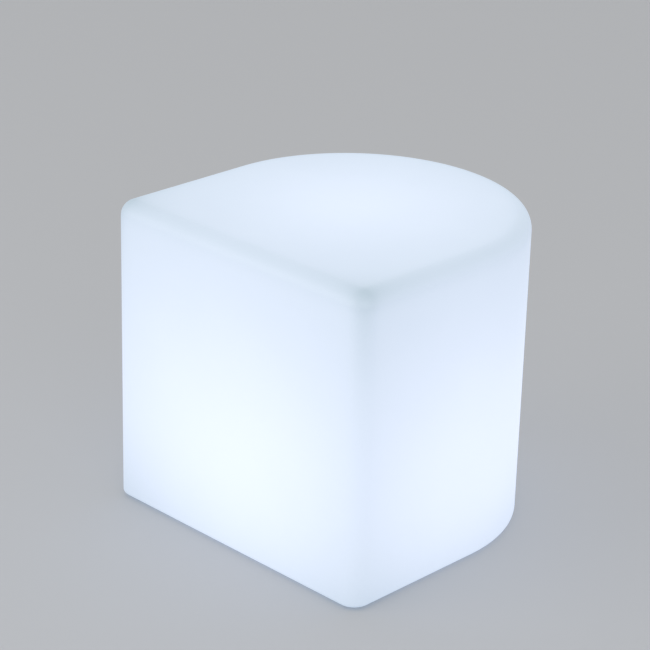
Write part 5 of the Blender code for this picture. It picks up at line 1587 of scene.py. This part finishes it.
finish = Finish("board_mask", "board_green")
sockets = {"Vector": finish.place, **BRICKS}
lines = finish.add("ShaderNodeTexBrick", {"offset": BRICK_OFFSET}, sockets, output="Fac")
traces = lines * finish.step(finish.noise(PATCH_SIZE), *PATCH_EDGE)
cloud = finish.noise(GREEN_CLOUD, detail=3.0)
board_mask = finish.feed(
    base_color=finish.mix(traces * TRACE_SHARE + cloud * (1 - TRACE_SHARE), *GREEN_TONES),
    roughness=between(*GREEN_ROUGHNESS, cloud),
    normal=finish.bump(traces, TRACE_HEIGHT),
)

copper = grained("enamelled_copper", "brass", (0.62, 0.27, 0.12), 0.30, 1.0, grain=0.0003, depth=0.000004)
ferrite = grained("ferrite", "black_plastic", (0.045, 0.045, 0.048), 0.62, grain=0.0003, drift=0.15)
print("made", board_mask.name, copper.name, "and", ferrite.name)

# %% [markdown]
# ## Control board
# The board under the battery charges the cells and drives the light. Here come its plate, with rounded edges
# and screw holes, and a ring of tinned copper round each hole. Each kind of part on it is a piece of its own,
# because they are made of different things.

# %% Control board
BOARD_LOW, BOARD_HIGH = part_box("control_board")
CONTROL_BOARD_THICKNESS = 0.0016
BOARD_TOP_Z = BOARD_LOW[2] + CONTROL_BOARD_THICKNESS
BOARD_EDGE = 0.0002
PAD_INNER = PILOT_RADIUS + 0.0001
PAD_OUTER = 0.0029
PAD_THICKNESS = 0.00004
PAD_STEPS = 32


def fit(name, piece, places, material):
    """Copies of a part on the control board's face."""
    repeat(name, piece, [(at[0], at[1], BOARD_TOP_Z) for at in places], material, "control_board")


board = block("printed_board", BOARD_LOW, (*BOARD_HIGH[:2], BOARD_TOP_Z))
drilled(soften(board, BOARD_EDGE, 1), "board_screw_", PILOT_RADIUS)
dress(board, board_mask, "control_board")
pad = [(PAD_INNER, 0.0), (PAD_OUTER, 0.0), (PAD_OUTER, PAD_THICKNESS), (PAD_INNER, PAD_THICKNESS)]
fit("screw_pads", turned("pad", pad, PAD_STEPS, closed=True), spots("board_screw_"), brass)

# %% [markdown]
# ## Chip
# The chip is a flat block with rounded edges and a round dimple that marks its first pin. Its pins are small
# square feet on all four sides. They are drawn once and set in a row, and the rows are mirrored.

# %% Chip and pins
CHIP_AT = (-0.0095, 0.0084)
CHIP_SIDE = 0.0090
CHIP_BODY_SIDE = 0.0082
CHIP_HEIGHT = 0.0012
CHIP_LIFT = 0.0001
CHIP_EDGE = 0.00015
DIMPLE_RADIUS = 0.0005
DIMPLE_DEPTH = 0.0001
DIMPLE_SHARE = 0.75  # of the way to the corner
CHIP_PINS = 8
CHIP_PIN_PITCH = 0.0009
PIN_INSET = 0.0003
PIN_STEPS = 8
PIN = ((0.00025, 0.0, 4), (0.00025, 0.0003, 4), (0.00015, 0.00045, 4))

x, y = CHIP_AT
size = (CHIP_BODY_SIDE, CHIP_BODY_SIDE, CHIP_HEIGHT - CHIP_LIFT)
chip = brick("chip", size, (x, y, BOARD_TOP_Z + CHIP_LIFT))
off, floor = CHIP_BODY_SIDE / 2 * DIMPLE_SHARE, BOARD_TOP_Z + CHIP_HEIGHT - DIMPLE_DEPTH
dimple = [(DIMPLE_RADIUS, floor), (DIMPLE_RADIUS, floor + OVERRUN)]
combine(chip, [turned("dimple", dimple, TINY_STEPS, [(x - off, y + off)])])
dress(soften(chip, CHIP_EDGE), black_plastic, "control_board")
pin_places = []
for out in (PIN_INSET - CHIP_SIDE / 2, CHIP_SIDE / 2 - PIN_INSET):
    for k in range(CHIP_PINS):
        step = (k - (CHIP_PINS - 1) / 2) * CHIP_PIN_PITCH
        pin_places += [(x + out, y + step), (x + step, y + out)]
fit("chip_pins", turned("pin", PIN, PIN_STEPS), pin_places, nickel)

# %% [markdown]
# ## Coil and capacitor
# A drum coil is a ferrite bobbin with eight-sided ends, wound with copper, and the winding is one wavy
# profile. The capacitor is an aluminium can with a rolled groove and a beaded top, on a black base. Both are
# turned, and the base and the bobbin's ends are rows with eight corners.

# %% Coil and capacitor
COIL_AT = (0.0057, -0.00945)
COIL_SIDE = 0.0070
COIL_HEIGHT = 0.0036
COIL_CORE_SHARE = 0.3
COIL_END_SHARE = 0.22
COIL_TOP_SHARE = 0.95
COIL_TURNS = 8
WINDING_SHARES = (0.41, 0.43)
WINDING_GAP = 0.00005
CAPACITOR_AT = (-0.0209, -0.00945)
CAPACITOR_RADIUS = 0.0025
CAPACITOR_HEIGHT = 0.0040
CAPACITOR_BASE = 0.0007
CAPACITOR_STEPS = 32
CAN_EDGE = 0.0002
DISH_FALL = 0.0001
# Shares of the capacitor's radius: its base, the can, the can's groove, and the rim and floor of the top's dish
BASE_SHARE, CAN_SHARE, GROOVE_SHARE, DISH_RIM_SHARE, DISH_FLOOR_SHARE = 0.97, 0.96, 0.9, 0.8, 0.75

half, core, end = COIL_SIDE / 2, COIL_SIDE * COIL_CORE_SHARE, COIL_HEIGHT * COIL_END_SHARE
profile = [(half, 0.0, 8), (half, end, 8), (core, end), (core, COIL_HEIGHT - end)]
profile += [(half * COIL_TOP_SHARE, COIL_HEIGHT - end, 8), (half * COIL_TOP_SHARE, COIL_HEIGHT, 8)]
fit("coil_core", turned("core", profile, CAN_STEPS), [COIL_AT], ferrite)
bottom, span = end + WINDING_GAP, COIL_HEIGHT - 2 * (end + WINDING_GAP)
rows = range(2 * COIL_TURNS + 1)
winding = [(COIL_SIDE * WINDING_SHARES[k % 2], bottom + span * k / 2 / COIL_TURNS) for k in rows]
fit("coil_winding", turned("winding", winding, SMALL_STEPS), [COIL_AT], copper)

radius, base, top = CAPACITOR_RADIUS, CAPACITOR_BASE, CAPACITOR_HEIGHT
can = [(radius * (CAN_SHARE if k % 2 else GROOVE_SHARE), base + k * CAN_EDGE) for k in range(4)]
can += upper_edge(radius * CAN_SHARE, top, CAN_EDGE)
can += [(radius * DISH_RIM_SHARE, top), (radius * DISH_FLOOR_SHARE, top - DISH_FALL)]
fit("capacitor_can", turned("can", can, CAN_STEPS), [CAPACITOR_AT], aluminium)
foot = [(radius * BASE_SHARE, 0.0, 8), (radius * BASE_SHARE, base, 8)]
fit("capacitor_base", turned("base", foot, CAPACITOR_STEPS), [CAPACITOR_AT], black_plastic)

# %% [markdown]
# ## Connectors and small parts
# Three connectors take the leads and the light cable: white blocks with slots in the top and a key groove on
# two sides. A dozen tiny resistors and capacitors lie about, each a dark body between two tinned ends. A box
# per kind is enough here, because it is smaller than a grain of rice.

# %% Connectors and small parts
CONNECTOR_SIDE = 0.0070
CONNECTOR_HEIGHT = 0.0045
CONNECTORS_AT = ((0.034, 0.0), (-0.034, 0.0), (0.034, 0.010))
CONNECTOR_EDGE = 0.0002
SLOT_DEPTH = 0.0009
SLOT_SIZE = (0.0042, 0.0010, SLOT_DEPTH + OVERRUN)
SLOT_ROWS = (-0.0015, 0.0015)
KEY_SIZE = (0.0012, 0.0006, CONNECTOR_HEIGHT)
KEY_Z = 0.001
PART_SIZE = (0.0011, 0.0008, 0.00045)
PART_END_SIZE = (0.0003, 0.00084, 0.00048)
PART_END_OUT = 0.00065
PART_EDGE = 0.00005
SMALL_PARTS_AT = (
    (-0.0165, 0.0150), (-0.0130, 0.0165), (0.0010, 0.0150), (0.0040, 0.0120),
    (0.0130, 0.0140), (0.0165, 0.0080), (0.0160, -0.0060), (0.0160, -0.0120),
    (-0.0060, -0.0130), (-0.0100, -0.0080), (-0.0130, -0.0150), (0.0230, 0.0020),
)

body = brick("connector", (CONNECTOR_SIDE, CONNECTOR_SIDE, CONNECTOR_HEIGHT))
cuts = [brick("slot", SLOT_SIZE, (0.0, y, CONNECTOR_HEIGHT - SLOT_DEPTH)) for y in SLOT_ROWS]
cuts += [brick("key", KEY_SIZE, (0.0, side * CONNECTOR_SIDE / 2, KEY_Z)) for side in (-1, 1)]
fit("connectors", soften(combine(body, cuts), CONNECTOR_EDGE), CONNECTORS_AT, lamp_plastic)

fit("chip_parts", soften(brick("part", PART_SIZE), PART_EDGE, 1), SMALL_PARTS_AT, ferrite)
ends = [brick("end", PART_END_SIZE, (x, 0.0, 0.0)) for x in (PART_END_OUT, -PART_END_OUT)]
pair = soften(combine(ends[0], ends[1:], "UNION"), PART_EDGE, 1)
fit("chip_part_ends", pair, SMALL_PARTS_AT, nickel)

# %% [markdown]
# ## Charging jack
# The jack stands in the plate's collar with its mouth down. It is a black barrel, lined with a nickel sleeve,
# with a pin in the middle whose tip stays just inside the mouth. Barrel and contacts are one profile each.

# %% Charging jack
JACK_BORE_RADIUS = 0.0031
JACK_SLEEVE = 0.0004
JACK_BORE_DEPTH = 0.0085
JACK_EDGE = 0.0003
JACK_PIN_RADIUS = 0.0010
JACK_PIN_SETBACK = 0.0010
JACK_TIP_SHARE = 0.6

radius, mouth, top = gauge("charge_jack")
at, edge = spots("charge_jack"), JACK_EDGE
floor, bore = mouth + JACK_BORE_DEPTH, JACK_BORE_RADIUS + JACK_SLEEVE
barrel = disc_profile(radius, mouth, top, edge)[::-1]
barrel += [(bore + edge, mouth), (bore, mouth + edge), (bore, floor)]
dress(turned("jack_body", barrel, MEDIUM_STEPS, at), black_plastic, "charge_jack")
pin, inner, tip = JACK_PIN_RADIUS, JACK_BORE_RADIUS, JACK_PIN_RADIUS * JACK_TIP_SHARE
sleeve = [(bore, floor), (bore, mouth + edge), (inner, mouth + 1.5 * edge), (inner, floor - edge)]
sleeve += [(pin, floor - edge)] + lower_edge(pin, mouth + JACK_PIN_SETBACK, tip)[::-1]
dress(turned("jack_contacts", sleeve, CAN_STEPS, at), nickel, "charge_jack")

# %% [markdown]
# ## Switch
# Under the button's stem sits a square push switch: a black housing, whose form is right as packed, a thin
# nickel cover with a hole for the stem, and four rivets that hold the cover.

# %% Switch
SWITCH_COVER = 0.00012
SWITCH_COVER_INSET = 0.0005
SWITCH_COVER_EDGE = 0.00004
SWITCH_BORE_RADIUS = 0.0020
SWITCH_EDGE = 0.0003
RIVET = ((0.0005, 0.0), (0.0004, -0.00010), (0.00015, -0.00014))
RIVET_INSET = 0.0013

dress(refined("switch_housing", "switch_body", SWITCH_EDGE), black_plastic, "switch_body")
reach, bottom, _ = gauge("switch_body")
at = spots("switch_body", bottom - SWITCH_COVER)[0]
side = 2 * (reach - SWITCH_COVER_INSET)
cover = brick("switch_cover", (side, side, 2 * SWITCH_COVER), at)
drilled(cover, "switch_body", SWITCH_BORE_RADIUS)
dress(soften(cover, SWITCH_COVER_EDGE, 1), nickel, "switch_body")
out = reach - RIVET_INSET
places = [(at.x + x * out, at.y + y * out, at.z) for x in (-1, 1) for y in (-1, 1)]
repeat("switch_rivets", turned("rivet", RIVET, TINY_STEPS), places, nickel, "switch_body")

# %% [markdown]
# ## Leads
# A red and a black lead loop from the battery's contacts to the board, and a grey cable runs up to the light
# board. They are short, fixed runs inside the closed lamp, so each is a wire along the same eased path that
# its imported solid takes.

# %% Leads and cable
LEAD_RADIUS = 0.0008
LEAD_SIDES = 16
LEAD_TOP_X = 0.0388
LEAD_END_X = 0.0378
LEAD_BULGE = 0.007
LEAD_RISE = 0.005816  # where a lead starts, above the tray's foot
LEAD_TOP_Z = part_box("battery_holder")[0][2] + LEAD_RISE
LEAD_END_Z = BOARD_TOP_Z + CONNECTOR_HEIGHT / 2
LEADS = (("battery_lead_plus", 1, red_lead), ("battery_lead_minus", -1, black_lead))
CABLE_RADIUS = 0.0015
CABLE_SIDES = 20
CABLE_START = Vector((0.0378, 0.010, LEAD_END_Z))
CABLE_END = Vector((0.0440, 0.0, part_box("light_board")[0][2] - TOUCH_GAP))
CABLE_REACH = 0.008
PATH_STEPS = 28


def make_lead(name, side, material):
    path = []
    for k in range(PATH_STEPS + 1):
        share = k / PATH_STEPS
        eased = (1 - math.cos(math.pi * share)) / 2
        x = LEAD_TOP_X + (LEAD_END_X - LEAD_TOP_X) * eased + LEAD_BULGE * math.sin(math.pi * share)
        path.append((side * x, 0.0, LEAD_TOP_Z + (LEAD_END_Z - LEAD_TOP_Z) * eased))
    wire(name + "_wire", [path], LEAD_RADIUS, material, name, sides=LEAD_SIDES)


for row in LEADS:
    make_lead(*row)
leave, arrive = CABLE_START + Vector((CABLE_REACH, 0, 0)), CABLE_END - Vector((0, 0, CABLE_REACH))
path = geometry.interpolate_bezier(CABLE_START, leave, arrive, CABLE_END, PATH_STEPS + 1)
wire("light_cable_sheath", [path], CABLE_RADIUS, grey_lead, "light_cable", sides=CABLE_SIDES)

# %% [markdown]
# ## End

# %% Finish
print("all pieces are made")
